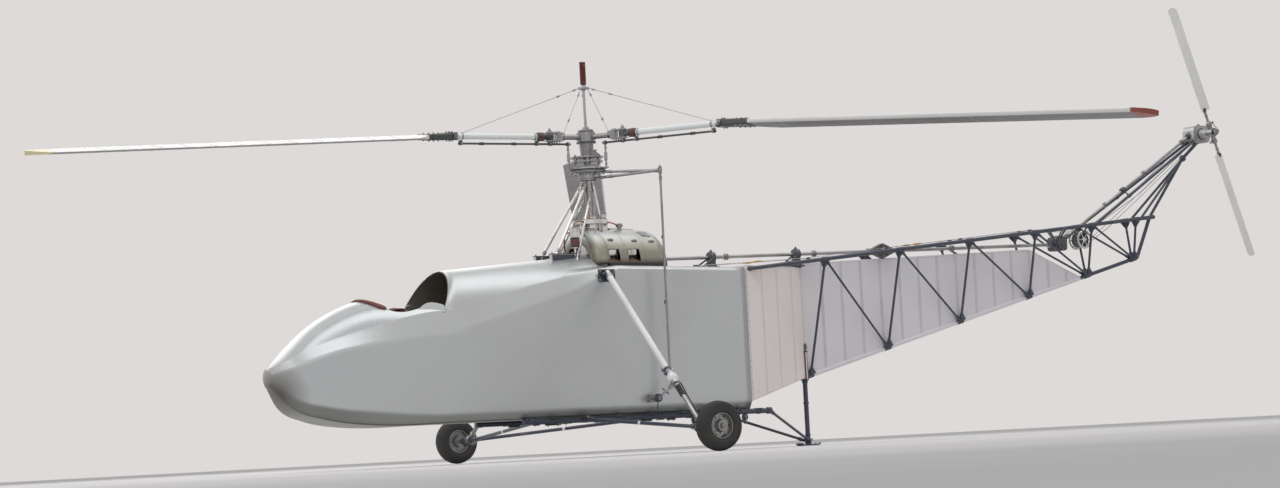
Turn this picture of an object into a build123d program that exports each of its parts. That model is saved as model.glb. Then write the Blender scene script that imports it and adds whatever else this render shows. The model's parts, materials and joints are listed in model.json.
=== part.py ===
from build123d import *
import math
import os

# A single-seat experimental helicopter on two outrigger wheels and a tail skid.
# X runs aft, Y to starboard, Z up, in millimetres. Stations are measured aft from the mast's axis.

# Main rotor
MAIN_ROTOR_RADIUS = 4572
ROTOR_PLANE_Z = 2455
BLADE_CHORD = 310
BLADE_THICKNESS = 38
BLADE_PITCH = 7
DROOP_HINGE_RADIUS = 1160
CUFF_LENGTH = 260
CUFF_SECTIONS = ((-25, 62, 62, 20), (70, 84, 58, 20), (CUFF_LENGTH, 150, 46, 14))
ARM_RADIUS = 23
ARM_BRACKET_RADIUS = 12
PITCH_ROD_RADIUS = 8
PITCH_ROD_DROP = 55
PITCH_ROD_BRACKETS = (440, DROOP_HINGE_RADIUS - 60)
PITCH_LINK_REACH = 166
PITCH_LINK_RADIUS = 7
LUG_BAR_WIDTH = 26
ROD_END_RADIUS = 14
HUB_RADIUS = 72
HUB_HEIGHT = 96
HUB_FOOT_Z = 2292
HUB_PLATE_RADIUS = 128
HUB_PLATE_THICKNESS = 12
HUB_PLATE_GAP = 22
HUB_PLATE_BOLTS = 6
INNER_ARM_RADIUS = 21
DRAG_HINGE_REACH = 322
DRAG_PIN_RADIUS = 13
FORK_PLATE_LENGTH = 130
FORK_PLATE_WIDTH = 62
FORK_PLATE_THICKNESS = 8
FORK_GAP = 54
ARM_EYE_RADIUS = 30
ROTOR_SHAFT_RADIUS = 28
KING_POST_RADIUS = 10
KING_CROSS_Z = 2835
KING_CAP_Z = 2870
KING_TOP_Z = 3038
KING_CAP_RADIUS = 23
KING_FLAT_WIDTH = 30
KING_CROSS_RADIUS = 46
HOIST_BORE_RADIUS = 8
HOIST_BORE_Z = 3008
STAY_RADIUS = 4

# Tail rotor
TAIL_ROTOR_RADIUS = 1152
TAIL_ROTOR_STATION = 6330
TAIL_ROTOR_Z = 2538
TAIL_ROTOR_Y = -195
TAIL_ROTOR_TILT = 20
TAIL_CHORD = 115
TAIL_THICKNESS = 18
TAIL_ROOT_RADIUS = 200
TAIL_SHANK_RADIUS = 11
TAIL_SHAFT_RADIUS = 14
TAIL_HUB_RADIUS = 38
TAIL_GRIP_REACH = 95
TAIL_GRIP_RADIUS = 20
TAIL_BLADE_PITCH = 9
TAIL_BOX_SIZE = (190, 140, 150)
TAIL_BOX_CORNER = 45
TAIL_NECK_RADIUS = 44
TAIL_HUB_GAP = 50

RUNNING_CLEARANCE = 0.05
ROTOR_CLEARANCE = 7

# The row's origin lies midway between the forward blade tip and the tail rotor's aft tip.
TAIL_REACH = (
    TAIL_ROTOR_STATION
    + TAIL_ROTOR_RADIUS * math.sin(math.radians(TAIL_ROTOR_TILT))
    + TAIL_CHORD / 2 * math.cos(math.radians(TAIL_ROTOR_TILT))
)
MAST_X = -(TAIL_REACH - MAIN_ROTOR_RADIUS) / 2

# Body shells, columns: station, belly half-width, belly z, chine half-width, chine z,
# side half-width, side z, ridge half-width, ridge z, top z
SKIN = 10
ARCH_FLATS = 8
COCKPIT_END = -1500
DECK_END = -450
BOX_START = 0
REAR_STATION = 1158
COCKPIT_ROW = (COCKPIT_END, 340, 305, 380, 370, 380, 955, 335, 1130, 1270)
ARCH_ROW = (COCKPIT_END, 340, 305, 380, 370, 380, 955, 335, 1130, 1430)
DECK_ROW = (DECK_END, 340, 305, 380, 370, 380, 1240, 330, 1370, 1515)
NOSE_ROWS = (
    (-2790, 40, 615, 70, 650, 80, 705, 60, 745, 765),
    (-2670, 120, 465, 185, 530, 200, 755, 150, 830, 880),
    (-2440, 200, 370, 275, 455, 288, 840, 222, 920, 1062),
    (-2100, 280, 315, 338, 410, 338, 900, 272, 1020, 1215),
    COCKPIT_ROW,
)
BOX_ROWS = (
    DECK_ROW,
    (BOX_START, 340, 305, 380, 370, 380, 1415, 345, 1440, 1465),
    (REAR_STATION, 340, 305, 380, 370, 380, 1390, 345, 1412, 1425),
)
OPENING_FRONT = -2040
OPENING_STRAIGHT = -1760
OPENING_HALF = 285
FIREWALL_STATION = -980
BULKHEAD_THICKNESS = 8
CROWN_END = -40
CROWN_END_HALF = 306
CROWN_END_LOW_Z = 1418
CROWN_END_TOP_Z = 1556
COAMING_WIDTH = 44
COAMING_PROUD = 16
ENTRY_FRONT = -1930
ARCH_RAKE_Z = 1150
ARCH_RAKE = 0.48
# The cheeks stand on the ridge line in front of the arch, leaning in: foot line and lean
CHEEK_FOOT = ((-1745, 303, 1086), (COCKPIT_END, 335, 1130))
CHEEK_LEAN = (35, 84)
CHEEK_HEIGHT = 90
CHEEK_REAR_HEIGHT = 44

# Cockpit
FLOOR_Z = 400
FLOOR_FRONT = -2260
FLOOR_WIDTH = 500
SEAT_Z = 610
SEAT_WIDTH = 420
# The seat's bent panel in side view, columns: station, height above SEAT_Z
SEAT_PROFILE = ((-1800, 30), (-1440, 0), (-1370, 520), (-1356, 516), (-1430, -14), (-1800, 15))
# The seat's legs, columns: station, height above SEAT_Z
SEAT_LEGS = ((-1760, 20), (-1470, 0))
SEAT_LEG_Y = 170
SEAT_LEG_RADIUS = 10
PANEL_STATION = -2075
PANEL_Z = 1020
PANEL_SIZE = (420, 170)
# Dials, columns: y, height above PANEL_Z
DIALS = ((-120, 0), (0, 10), (120, 0))
DIAL_RADIUS = 42
STICK_STATION = -1960
STICK_TOP_Z = 950
STICK_RAKE = 50
PEDAL_STATION = -2240
PEDAL_Y = 120
PEDAL_SIZE = (16, 100, 60)
PEDAL_BAR_HALF = 200

# Tail wedge and boom
WEDGE_STATION = 1960
WEDGE_EDGE_HALF = 12
WEDGE_TOP_Z = 1425
WEDGE_BOTTOM_Z = 368
WEDGE_SKIN = 8
LONGERON_RADIUS = 16
LONGERON_FRONT = (REAR_STATION, 352, 1394)
LONGERON_REAR = (5720, 55, 1812)
KEEL_RADIUS = 16
KEEL_FRONT = (WEDGE_STATION, 0, 548)
KEEL_REAR = (5549, 0, 1465)
POST_RADIUS = 10
DIAGONAL_RADIUS = 9
POST_FOOT_Y = 15
BOOM_STATIONS = (1995, 2788, 3557, 4306, 4970, 5500)
JOINT_STATION = 2788
FIN_THICKNESS = 8
FIN_TOP_FRONT_Z = 1452
FIN_TOP_REAR_Z = 1540
FIN_END_STATION = 4880

# Tail pylon: its tubes' feet on the longerons, their meeting point, and their seats on the gearbox
PYLON_FEET = (5008, 5560)
PYLON_HEAD = (6290, 35, 2495)
JUNCTION = (6150, 0, 2330)
JUNCTION_RADIUS = 30
JUNCTION_HEAD = (6370, 0, 2500)
PYLON_RADIUS = 13

# Tail drive
SHAFT_FRONT = (535, 0, 1505)
SHAFT_REAR = (4610, 0, 1585)
SHAFT_TOP = (6300, 0, 2560)
SHAFT_RADIUS = 14
BEARING_STATIONS = (1103, 1925)
BEARING_RADIUS = 42
BEARING_WIDTH = 46
# Joint plate over the boom: half-length and half-height of its diamond, and its thickness
JOINT_PLATE = (150, 62, 44)
BEVEL_BOX_SIZE = 120
BEVEL_BOX_STATION = 4660
BEVEL_BOX_Z = 1590
DRUM_STATION = 4916
DRUM_Z = 1622
DRUM_RADIUS = 62
DRUM_WIDTH = 80

# Mast, gearbox and cowl
DECK_Z = 1440
GEARBOX_TOP_Z = 1812
GEARBOX_FOOT_Z = 1480
GEARBOX_RADIUS = 95
GEARBOX_FLANGE_RADIUS = 138
GEARBOX_FLANGE_THICKNESS = 32
GEARBOX_RIBS = 6
GEARBOX_RIB_SIZE = (70, 10)
FILLER_REACH = 112
FILLER_RADIUS = 24
FILLER_TOP_Z = 1862
# The oil pump stands ahead of the gearbox: radius, lower z, upper z of each of its turned lengths
PUMP_STATION = -222
PUMP_Y = -120
PUMP_LENGTHS = ((10, 1500, 1600), (33, 1590, 1676), (24, 1676, 1684), (41, 1684, 1743))
PUMP_BRACKET_Z = 1712
PUMP_BRACKET_RADIUS = 14
MAST_RADIUS = 46
MAST_TOP_Z = 2225
MAST_BORE_DEPTH = 160
LEG_RADIUS = 11
LEG_POINTS = (((-430, 120, 1470), (-20, 25, 2120)), ((-250, 170, 1470), (-10, 30, 1990)))
LEG_RAIL = (-445, -235)
LEG_RAIL_WIDTH = 34
LEG_RAIL_TOP_Z = 1546
STAY_LEG_RADIUS = 9
STAY_LEG_AZIMUTHS = (-80, 40, 160)
STAY_LEG_TOP_Z = 2118
STAR_Z = 2186
STAR_RADIUS = 138
STAR_THICKNESS = 20
STAR_COLLAR_RADIUS = 72
STAR_COLLAR_HEIGHT = 66
COWL_RADIUS = 318
COWL_START = -40
COWL_TAPER = 24
COWL_END = 560
COWL_SKIN = 6
COWL_TAIL_ROUND = 140
COWL_WINDOW_HEIGHT = 100
COWL_WINDOW_WIDTH = 118
ENGINE_STATION = 155
ENGINE_LENGTH = 430
ENGINE_WIDTH = 200
ENGINE_TOP_Z = 1612
ENGINE_BOTTOM_Z = 1010
CYLINDER_STATIONS = (22, 196)
CYLINDER_Z = 1545
CYLINDER_RADIUS = 62
CYLINDER_LENGTH = 138
BARREL_RADIUS = 46
FIN_COUNT = 5
FIN_PITCH = 24
FIN_GAUGE = 7

# Control run on the port side
BRACKET_STATION = 336
BRACKET_Y = -500
BRACKET_Z = 2152
BRACKET_RADIUS = 11
CONTROL_ROD_RADIUS = 9
CONTROL_ROD_FOOT_Z = 500
BELLCRANK = (232, 380, 422)
# The bellcrank's turned pieces, columns: y of the inner end, y of the outer end, radius
BELLCRANK_LENGTHS = ((-360, -470, 13), (-450, -474, 26))
BELLCRANK_BASE = (90, 8, 60)
LEVER_Y = -462
LEVER_RADIUS = 9

# Landing gear
WHEEL_STATION = -200
WHEEL_Y = 1895
TYRE_RADIUS = 180
TYRE_WIDTH = 130
RIM_RADIUS = 92
# The tyre's half-section, columns: share of the half-width, radius from the axle
TYRE_PROFILE = (
    (0.0, TYRE_RADIUS),
    (0.46, TYRE_RADIUS - 5),
    (0.78, TYRE_RADIUS - 20),
    (0.97, TYRE_RADIUS - 44),
    (1.0, RIM_RADIUS + 26),
    (0.86, RIM_RADIUS + 6),
    (0.66, RIM_RADIUS),
)
# The rim's half-section, columns: half-width, radius from the axle
RIM_PROFILE = (
    (60, 34),
    (14, 40),
    (14, RIM_RADIUS - 14),
    (44, RIM_RADIUS - 6),
    (44, RIM_RADIUS),
)
AXLE_RADIUS = 16
AXLE_END_Y = WHEEL_Y + 66
KNUCKLE_Y = 1690
KNUCKLE_RADIUS = 36
KNUCKLE_REACH = (-60, 70)
STRUT_TOP = (-120, 392, 1385)
STRUT_RADIUS = 24
STRUT_SLEEVE_LENGTH = 1180
CLAMP_LENGTH = 110
PISTON_RADIUS = 15
# Drag tubes, columns: station on the belly tube, offset from the knuckle's middle
DRAG_ENDS = ((-360, -30), (790, 45))
DRAG_RADIUS = 14
BELLY_TUBE_Y = 352
BELLY_TUBE_Z = 290
BELLY_TUBE_RADIUS = 20
BELLY_TUBE_FRONT = -897
BELLY_TUBE_REAR = 1350
LUG_STATION = 1100
LUG_THICKNESS = 12
LUG_BORE_RADIUS = 10
LUG_Z = 248
SKID_STATION = 1945
SKID_POST_RADIUS = 19
SKID_SOCKET_TOP_Z = 60
SKID_SHOCK_RADIUS = 27
SKID_SHOCK_LOW_Z = 520
SKID_SHOCK_HIGH_Z = 750
SHOCK_GROOVE = 14
SHOCK_GROOVE_PITCH = 50
SKID_FOOT_LENGTH = 150
SKID_FOOT_WIDTH = 90
# The foot's turned-up sole in side view, columns: reach past the half-length, z
SKID_SOLE = ((20, 16), (0, 0))
SKID_SOLE_TOP = ((14, 24), (-6, 9))
SKID_BRACE_RADIUS = 11

SIDES = (("port", -1), ("starboard", 1))
# Blades, columns: name, azimuth from aft, droop in degrees
BLADES = (("aft_port", -61, 4.0), ("aft_starboard", 57, 5.2), ("forward", 179, 2.4))

os.makedirs("parts", exist_ok=True)


def x_at(station):
    """The row's x at a station measured aft from the mast."""
    return MAST_X + station


def between(front, rear, station, side=1):
    """A point on the straight line from front to rear, taken at a station and mirrored by side."""
    share = (station - front[0]) / (rear[0] - front[0])
    y = front[1] + share * (rear[1] - front[1])
    z = front[2] + share * (rear[2] - front[2])
    return (x_at(station), side * y, z)


def placed(point, side=1):
    """A table point (station, y, z) in the row's frame, mirrored by side."""
    return (x_at(point[0]), side * point[1], point[2])


def polar(radius, azimuth, z):
    """A point of the main rotor at a radius from the mast and an azimuth from aft."""
    angle = math.radians(azimuth)
    return (MAST_X + radius * math.cos(angle), radius * math.sin(angle), z)


def polar_direction(azimuth):
    """The level direction out along an azimuth of the main rotor."""
    angle = math.radians(azimuth)
    return (math.cos(angle), math.sin(angle), 0)


def tube(start, end, radius, mode=Mode.ADD):
    """A round bar from one point to another, in the sub-part being built."""
    run = Vector(*end) - Vector(*start)
    with Locations(Location(Plane(origin=start, z_dir=run))):
        Cylinder(radius, run.length, align=(Align.CENTER, Align.CENTER, Align.MIN), mode=mode)


def arch_flats(ridge, top_z):
    """Corners of the flats between stringers, on an arch from one ridge over the top to the other."""
    half, low_z = ridge
    radius = (half**2 + (top_z - low_z) ** 2) / (2 * (top_z - low_z))
    reach = math.atan2(half, low_z - top_z + radius)
    angles = [reach * (1 - 2 * step / ARCH_FLATS) for step in range(ARCH_FLATS + 1)]
    return [(radius * math.sin(angle), top_z - radius + radius * math.cos(angle)) for angle in angles]


def body_section(row, inset=0):
    """One cross-section of the body: belly, chine, side, and the stringers' flats over the top."""
    station, belly_half, belly_z, chine_half, chine_z = row[:5]
    side_half, side_z, ridge_half, ridge_z, top_z = row[5:]
    ridge = (ridge_half - inset, ridge_z - inset / 2)
    with BuildSketch(Plane(origin=(x_at(station), 0, 0), x_dir=(0, 1, 0), z_dir=(1, 0, 0))) as outline:
        with BuildLine():
            Polyline(
                ridge,
                (side_half - inset, side_z - inset / 3),
                (chine_half - inset, chine_z + inset / 3),
                (belly_half - inset / 2, belly_z + inset),
                (-belly_half + inset / 2, belly_z + inset),
                (-chine_half + inset, chine_z + inset / 3),
                (-side_half + inset, side_z - inset / 3),
                (-ridge[0], ridge[1]),
            )
            Polyline(*arch_flats(ridge, top_z - inset))
        make_face()
    return outline.sketch


def opening_plan(grow, height):
    """The cockpit opening's plan, grown by a margin: straight sides and a half-ellipse front."""
    half = OPENING_HALF + grow
    reach = OPENING_STRAIGHT - OPENING_FRONT + grow
    with BuildSketch(Plane.XY.offset(height)) as plan:
        with Locations((x_at(OPENING_STRAIGHT), 0)):
            Ellipse(reach, half)
        with Locations((x_at((OPENING_STRAIGHT + COCKPIT_END) / 2), 0)):
            Rectangle(COCKPIT_END - OPENING_STRAIGHT, 2 * half)
        with Locations((x_at(COCKPIT_END) + reach, 0)):
            Rectangle(2 * reach, 4 * half, mode=Mode.SUBTRACT)
    return plan.sketch


def cheek(side, mode=Mode.ADD):
    """The rounded cheek that carries the side wall up to the arch, in the sub-part being built."""
    front, rear = (Vector(*placed(point, side)) for point in CHEEK_FOOT)
    run = front - rear
    up = Vector(0, -side * CHEEK_LEAN[0], CHEEK_LEAN[1]).normalized()
    with BuildSketch(Plane(origin=rear, x_dir=rear - front, z_dir=(rear - front).cross(up))) as profile:
        with BuildLine():
            ThreePointArc(
                (-run.length, -SKIN), (-run.length / 2, CHEEK_HEIGHT), (-SKIN / 2, CHEEK_REAR_HEIGHT)
            )
            Polyline(
                (-SKIN / 2, CHEEK_REAR_HEIGHT),
                (-SKIN / 2, -SKIN),
                (-run.length, -SKIN),
            )
        make_face()
    extrude(profile.sketch, amount=side * SKIN, mode=mode)


# Body shells
with BuildPart() as nose_shell:
    loft(sections=[body_section(row) for row in NOSE_ROWS])
    loft(sections=[body_section(row, SKIN) for row in NOSE_ROWS[1:]], ruled=True, mode=Mode.SUBTRACT)
    extrude(opening_plan(0, 960), amount=500, mode=Mode.SUBTRACT)
    for name, side in SIDES:
        cheek(side)
nose_shell.part.label = "nose_shell"
export_step(nose_shell.part, "parts/nose_shell.step")

with BuildPart() as deck_shell:
    loft(sections=[body_section(row) for row in (ARCH_ROW, DECK_ROW)], ruled=True)
    loft(sections=[body_section(row, SKIN) for row in (ARCH_ROW, DECK_ROW)], ruled=True, mode=Mode.SUBTRACT)
    with BuildSketch(Plane.XZ.offset(-600)):
        with BuildLine():
            Polyline(
                (x_at(COCKPIT_END) - 1, ARCH_RAKE_Z),
                (x_at(COCKPIT_END) - 1, 1600),
                (x_at(COCKPIT_END) + ARCH_RAKE * (1600 - ARCH_RAKE_Z), 1600),
                close=True,
            )
        make_face()
    extrude(amount=1200, mode=Mode.SUBTRACT)
deck_shell.part.label = "deck_shell"
export_step(deck_shell.part, "parts/deck_shell.step")

with BuildPart() as rear_shell:
    loft(sections=[body_section(row) for row in BOX_ROWS], ruled=True)
    loft(sections=[body_section(row, SKIN) for row in BOX_ROWS], ruled=True, mode=Mode.SUBTRACT)
    with Locations((x_at(ENGINE_STATION), 0, ENGINE_TOP_Z)):
        Box(ENGINE_LENGTH, ENGINE_WIDTH, 600, mode=Mode.SUBTRACT)
rear_shell.part.label = "rear_shell"
export_step(rear_shell.part, "parts/rear_shell.step")

with BuildPart() as bulkheads:
    loft(sections=[body_section(row, SKIN) for row in (ARCH_ROW, DECK_ROW)], ruled=True)
    loft(sections=[body_section(row, SKIN) for row in BOX_ROWS], ruled=True)
    rear_face = x_at(REAR_STATION) - BULKHEAD_THICKNESS
    for start, end in (
        (x_at(COCKPIT_END) - 10, x_at(FIREWALL_STATION)),
        (x_at(FIREWALL_STATION) + BULKHEAD_THICKNESS, rear_face),
    ):
        with Locations(((start + end) / 2, 0, 1000)):
            Box(end - start, 1000, 2000, mode=Mode.SUBTRACT)
bulkheads.part.label = "bulkheads"
export_step(bulkheads.part, "parts/bulkheads.step")

with BuildPart() as deck_crown:
    for station, half, low_z, top_z in (
        (DECK_END, DECK_ROW[7], DECK_ROW[8], DECK_ROW[9]),
        (CROWN_END, CROWN_END_HALF, CROWN_END_LOW_Z, CROWN_END_TOP_Z),
    ):
        with BuildSketch(Plane.YZ.offset(x_at(station))):
            with BuildLine():
                Polyline(*arch_flats((half, low_z), top_z), close=True)
            make_face()
    loft(ruled=True)
    loft(sections=[body_section(row) for row in BOX_ROWS], ruled=True, mode=Mode.SUBTRACT)
deck_crown.part.label = "deck_crown"
export_step(deck_crown.part, "parts/deck_crown.step")

with BuildPart() as cockpit_coaming:
    loft(sections=[body_section(row, -COAMING_PROUD) for row in NOSE_ROWS[1:]])
    loft(sections=[body_section(row) for row in NOSE_ROWS], mode=Mode.SUBTRACT)
    extrude(opening_plan(COAMING_WIDTH / 2, 900), amount=500, mode=Mode.INTERSECT)
    extrude(opening_plan(-COAMING_WIDTH / 2, 900), amount=600, mode=Mode.SUBTRACT)
    cheek(1, mode=Mode.SUBTRACT)
    with Locations((x_at(ENTRY_FRONT), -OPENING_HALF, 1000)):
        Box(1000, OPENING_HALF, 1000, align=(Align.MIN, Align.CENTER, Align.CENTER), mode=Mode.SUBTRACT)
cockpit_coaming.part.label = "cockpit_coaming"
export_step(cockpit_coaming.part, "parts/cockpit_coaming.step")

# Cockpit: floor, seat, panel, stick and pedals
with BuildPart() as cockpit_floor:
    with Locations((x_at(FLOOR_FRONT), 0, FLOOR_Z)):
        Box(COCKPIT_END + 390 - FLOOR_FRONT, FLOOR_WIDTH, 12, align=(Align.MIN, Align.CENTER, Align.MAX))
cockpit_floor.part.label = "cockpit_floor"
export_step(cockpit_floor.part, "parts/cockpit_floor.step")

with BuildPart() as pilot_seat:
    with BuildSketch(Plane.XZ.offset(-SEAT_WIDTH / 2)):
        with BuildLine():
            Polyline(*[(x_at(station), SEAT_Z + height) for station, height in SEAT_PROFILE], close=True)
        make_face()
    extrude(amount=SEAT_WIDTH)
    for name, side in SIDES:
        for station, height in SEAT_LEGS:
            y = side * SEAT_LEG_Y
            tube((x_at(station), y, FLOOR_Z), (x_at(station), y, SEAT_Z + height), SEAT_LEG_RADIUS)
pilot_seat.part.label = "pilot_seat"
export_step(pilot_seat.part, "parts/pilot_seat.step")

with BuildPart() as instrument_panel:
    with BuildSketch(Plane.YZ.offset(x_at(PANEL_STATION))):
        with Locations((0, PANEL_Z)):
            RectangleRounded(*PANEL_SIZE, 30)
    extrude(amount=6)
    with BuildSketch(Plane.YZ.offset(x_at(PANEL_STATION) + 6)):
        with Locations(*[(y, PANEL_Z + height) for y, height in DIALS]):
            Circle(DIAL_RADIUS)
            Circle(DIAL_RADIUS - 6, mode=Mode.SUBTRACT)
    extrude(amount=8)
instrument_panel.part.label = "instrument_panel"
export_step(instrument_panel.part, "parts/instrument_panel.step")

with BuildPart() as cockpit_controls:
    with BuildSketch(Plane.XY.offset(FLOOR_Z)):
        with Locations((x_at(STICK_STATION), 0)):
            Circle(26)
    extrude(amount=30)
    grip = (x_at(STICK_STATION) + STICK_RAKE, 0, STICK_TOP_Z - 95)
    tube((x_at(STICK_STATION), 0, FLOOR_Z + 15), (grip[0], 0, grip[2] + 5), 11)
    tube(grip, (grip[0] + 10, 0, STICK_TOP_Z), 17)
    bar_z = FLOOR_Z + 20
    tube((x_at(PEDAL_STATION), -PEDAL_BAR_HALF, bar_z), (x_at(PEDAL_STATION), PEDAL_BAR_HALF, bar_z), 12)
    for name, side in SIDES:
        tube((x_at(PEDAL_STATION), side * PEDAL_Y, bar_z),
             (x_at(PEDAL_STATION) - 20, side * PEDAL_Y, bar_z + 140), 10)
        with Locations((x_at(PEDAL_STATION) - 20, side * PEDAL_Y, bar_z + 155)):
            Box(*PEDAL_SIZE)
        with Locations((x_at(PEDAL_STATION), side * (PEDAL_BAR_HALF - 10), FLOOR_Z)):
            Box(50, 16, 34, align=(Align.CENTER, Align.CENTER, Align.MIN))
cockpit_controls.part.label = "cockpit_controls"
export_step(cockpit_controls.part, "parts/cockpit_controls.step")

# Tail skid: foot, post and the shock unit set into the boom's leading edge
with BuildPart() as tail_skid:
    with BuildSketch(Plane.XZ.offset(-SKID_FOOT_WIDTH / 2)):
        with BuildLine():
            foot_x, half = x_at(SKID_STATION), SKID_FOOT_LENGTH / 2
            fore = [(foot_x - half - past, z) for past, z in SKID_SOLE]
            aft = [(foot_x + half + past, z) for past, z in SKID_SOLE[::-1] + SKID_SOLE_TOP]
            top = [(foot_x - half - past, z) for past, z in SKID_SOLE_TOP[::-1]]
            Polyline(*fore, *aft, *top, close=True)
        make_face()
    extrude(amount=SKID_FOOT_WIDTH)
    tube((x_at(SKID_STATION), 0, 9), (x_at(SKID_STATION), 0, SKID_SOCKET_TOP_Z), SKID_POST_RADIUS + 8)
    tube((x_at(SKID_STATION), 0, 9), (x_at(SKID_STATION), 0, SKID_SHOCK_LOW_Z), SKID_POST_RADIUS)
tail_skid.part.label = "tail_skid"
export_step(tail_skid.part, "parts/tail_skid.step")

with BuildPart() as skid_shock:
    with BuildSketch(Plane.XY.offset(SKID_SHOCK_LOW_Z)):
        with Locations((x_at(SKID_STATION), 0)):
            Circle(SKID_SHOCK_RADIUS)
    extrude(amount=SKID_SHOCK_HIGH_Z - SKID_SHOCK_LOW_Z)
    for z in range(SKID_SHOCK_LOW_Z + 30, SKID_SHOCK_HIGH_Z - SHOCK_GROOVE, SHOCK_GROOVE_PITCH):
        with BuildSketch(Plane.XY.offset(z)):
            with Locations((x_at(SKID_STATION), 0)):
                Circle(SKID_SHOCK_RADIUS)
                Circle(SKID_SHOCK_RADIUS - 5, mode=Mode.SUBTRACT)
        extrude(amount=SHOCK_GROOVE, mode=Mode.SUBTRACT)
skid_shock.part.label = "skid_shock"
export_step(skid_shock.part, "parts/skid_shock.step")

# Tail wedge: two side panels closing from the body's full width to the fin's leading edge
with BuildPart() as tail_wedge:
    for inset, mode in ((0, Mode.ADD), (WEDGE_SKIN, Mode.SUBTRACT)):
        with BuildSketch(Plane.XY.offset(WEDGE_BOTTOM_Z - 60)):
            with BuildLine():
                Polyline(
                    (x_at(REAR_STATION) + inset, -380 + inset * 1.4),
                    (x_at(WEDGE_STATION) - inset * 3, -WEDGE_EDGE_HALF + inset),
                    (x_at(WEDGE_STATION) - inset * 3, WEDGE_EDGE_HALF - inset),
                    (x_at(REAR_STATION) + inset, 380 - inset * 1.4),
                    close=True,
                )
            make_face()
        extrude(amount=WEDGE_TOP_Z - WEDGE_BOTTOM_Z + 60 - inset, mode=mode)
    with BuildSketch(Plane.XZ.offset(-500)):
        with BuildLine():
            Polyline(
                (x_at(REAR_STATION), WEDGE_BOTTOM_Z),
                (x_at(WEDGE_STATION), KEEL_FRONT[2] - 4),
                (x_at(WEDGE_STATION), 200),
                (x_at(REAR_STATION), 200),
                close=True,
            )
        make_face()
    extrude(amount=1000, mode=Mode.SUBTRACT)
    tube((x_at(SKID_STATION), 0, 400), (x_at(SKID_STATION), 0, SKID_SHOCK_HIGH_Z), SKID_SHOCK_RADIUS,
         mode=Mode.SUBTRACT)
    for name, side in SIDES:
        tube(between(LONGERON_FRONT, LONGERON_REAR, REAR_STATION - 30, side),
             placed(LONGERON_REAR, side), LONGERON_RADIUS, mode=Mode.SUBTRACT)
tail_wedge.part.label = "tail_wedge"
export_step(tail_wedge.part, "parts/tail_wedge.step")

# Boom: two top longerons and one keel tube, joined by posts and diagonals in a V
with BuildPart() as boom_longerons:
    for name, side in SIDES:
        tube(between(LONGERON_FRONT, LONGERON_REAR, REAR_STATION - 30, side),
             placed(LONGERON_REAR, side), LONGERON_RADIUS)
    split(bisect_by=Plane.YZ.offset(x_at(REAR_STATION)), keep=Keep.TOP)
    tube(between(KEEL_FRONT, KEEL_REAR, WEDGE_STATION + 4), placed(KEEL_REAR), KEEL_RADIUS)
    tube((x_at(SKID_STATION), 0, 400), (x_at(SKID_STATION), 0, SKID_SHOCK_HIGH_Z), SKID_SHOCK_RADIUS,
         mode=Mode.SUBTRACT)
    add(tail_wedge.part, mode=Mode.SUBTRACT)
boom_longerons.part.label = "boom_longerons"
export_step(boom_longerons.part, "parts/boom_longerons.step")


def keel_foot(station, side):
    """Where a post or diagonal lands beside the keel tube."""
    x, y, z = between(KEEL_FRONT, KEEL_REAR, station)
    return (x, side * POST_FOOT_Y, z)


with BuildPart() as boom_posts:
    for name, side in SIDES:
        for station in BOOM_STATIONS:
            tube(keel_foot(station, side), between(LONGERON_FRONT, LONGERON_REAR, station, side),
                 POST_RADIUS)
    add(boom_longerons.part, mode=Mode.SUBTRACT)
boom_posts.part.label = "boom_posts"
export_step(boom_posts.part, "parts/boom_posts.step")

with BuildPart() as boom_diagonals:
    for name, side in SIDES:
        for upper, lower in zip(BOOM_STATIONS[:-1], BOOM_STATIONS[1:]):
            tube(between(LONGERON_FRONT, LONGERON_REAR, upper, side), keel_foot(lower, side),
                 DIAGONAL_RADIUS)
    add(boom_longerons.part, mode=Mode.SUBTRACT)
    add(boom_posts.part, mode=Mode.SUBTRACT)
boom_diagonals.part.label = "boom_diagonals"
export_step(boom_diagonals.part, "parts/boom_diagonals.step")

with BuildPart() as boom_cross_tubes:
    for station in BOOM_STATIONS:
        if station != JOINT_STATION:
            tube(between(LONGERON_FRONT, LONGERON_REAR, station, -1),
                 between(LONGERON_FRONT, LONGERON_REAR, station, 1), DIAGONAL_RADIUS)
    add(boom_longerons.part, mode=Mode.SUBTRACT)
    add(boom_posts.part, mode=Mode.SUBTRACT)
    add(boom_diagonals.part, mode=Mode.SUBTRACT)
boom_cross_tubes.part.label = "boom_cross_tubes"
export_step(boom_cross_tubes.part, "parts/boom_cross_tubes.step")

with BuildPart() as boom_end:
    tube(placed(KEEL_REAR), (x_at(LONGERON_REAR[0]), 0, LONGERON_REAR[2]), KEEL_RADIUS)
    tube(placed(LONGERON_REAR, -1), placed(LONGERON_REAR, 1), LONGERON_RADIUS + 2)
    add(boom_longerons.part, mode=Mode.SUBTRACT)
boom_end.part.label = "boom_end"
export_step(boom_end.part, "parts/boom_end.step")

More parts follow.
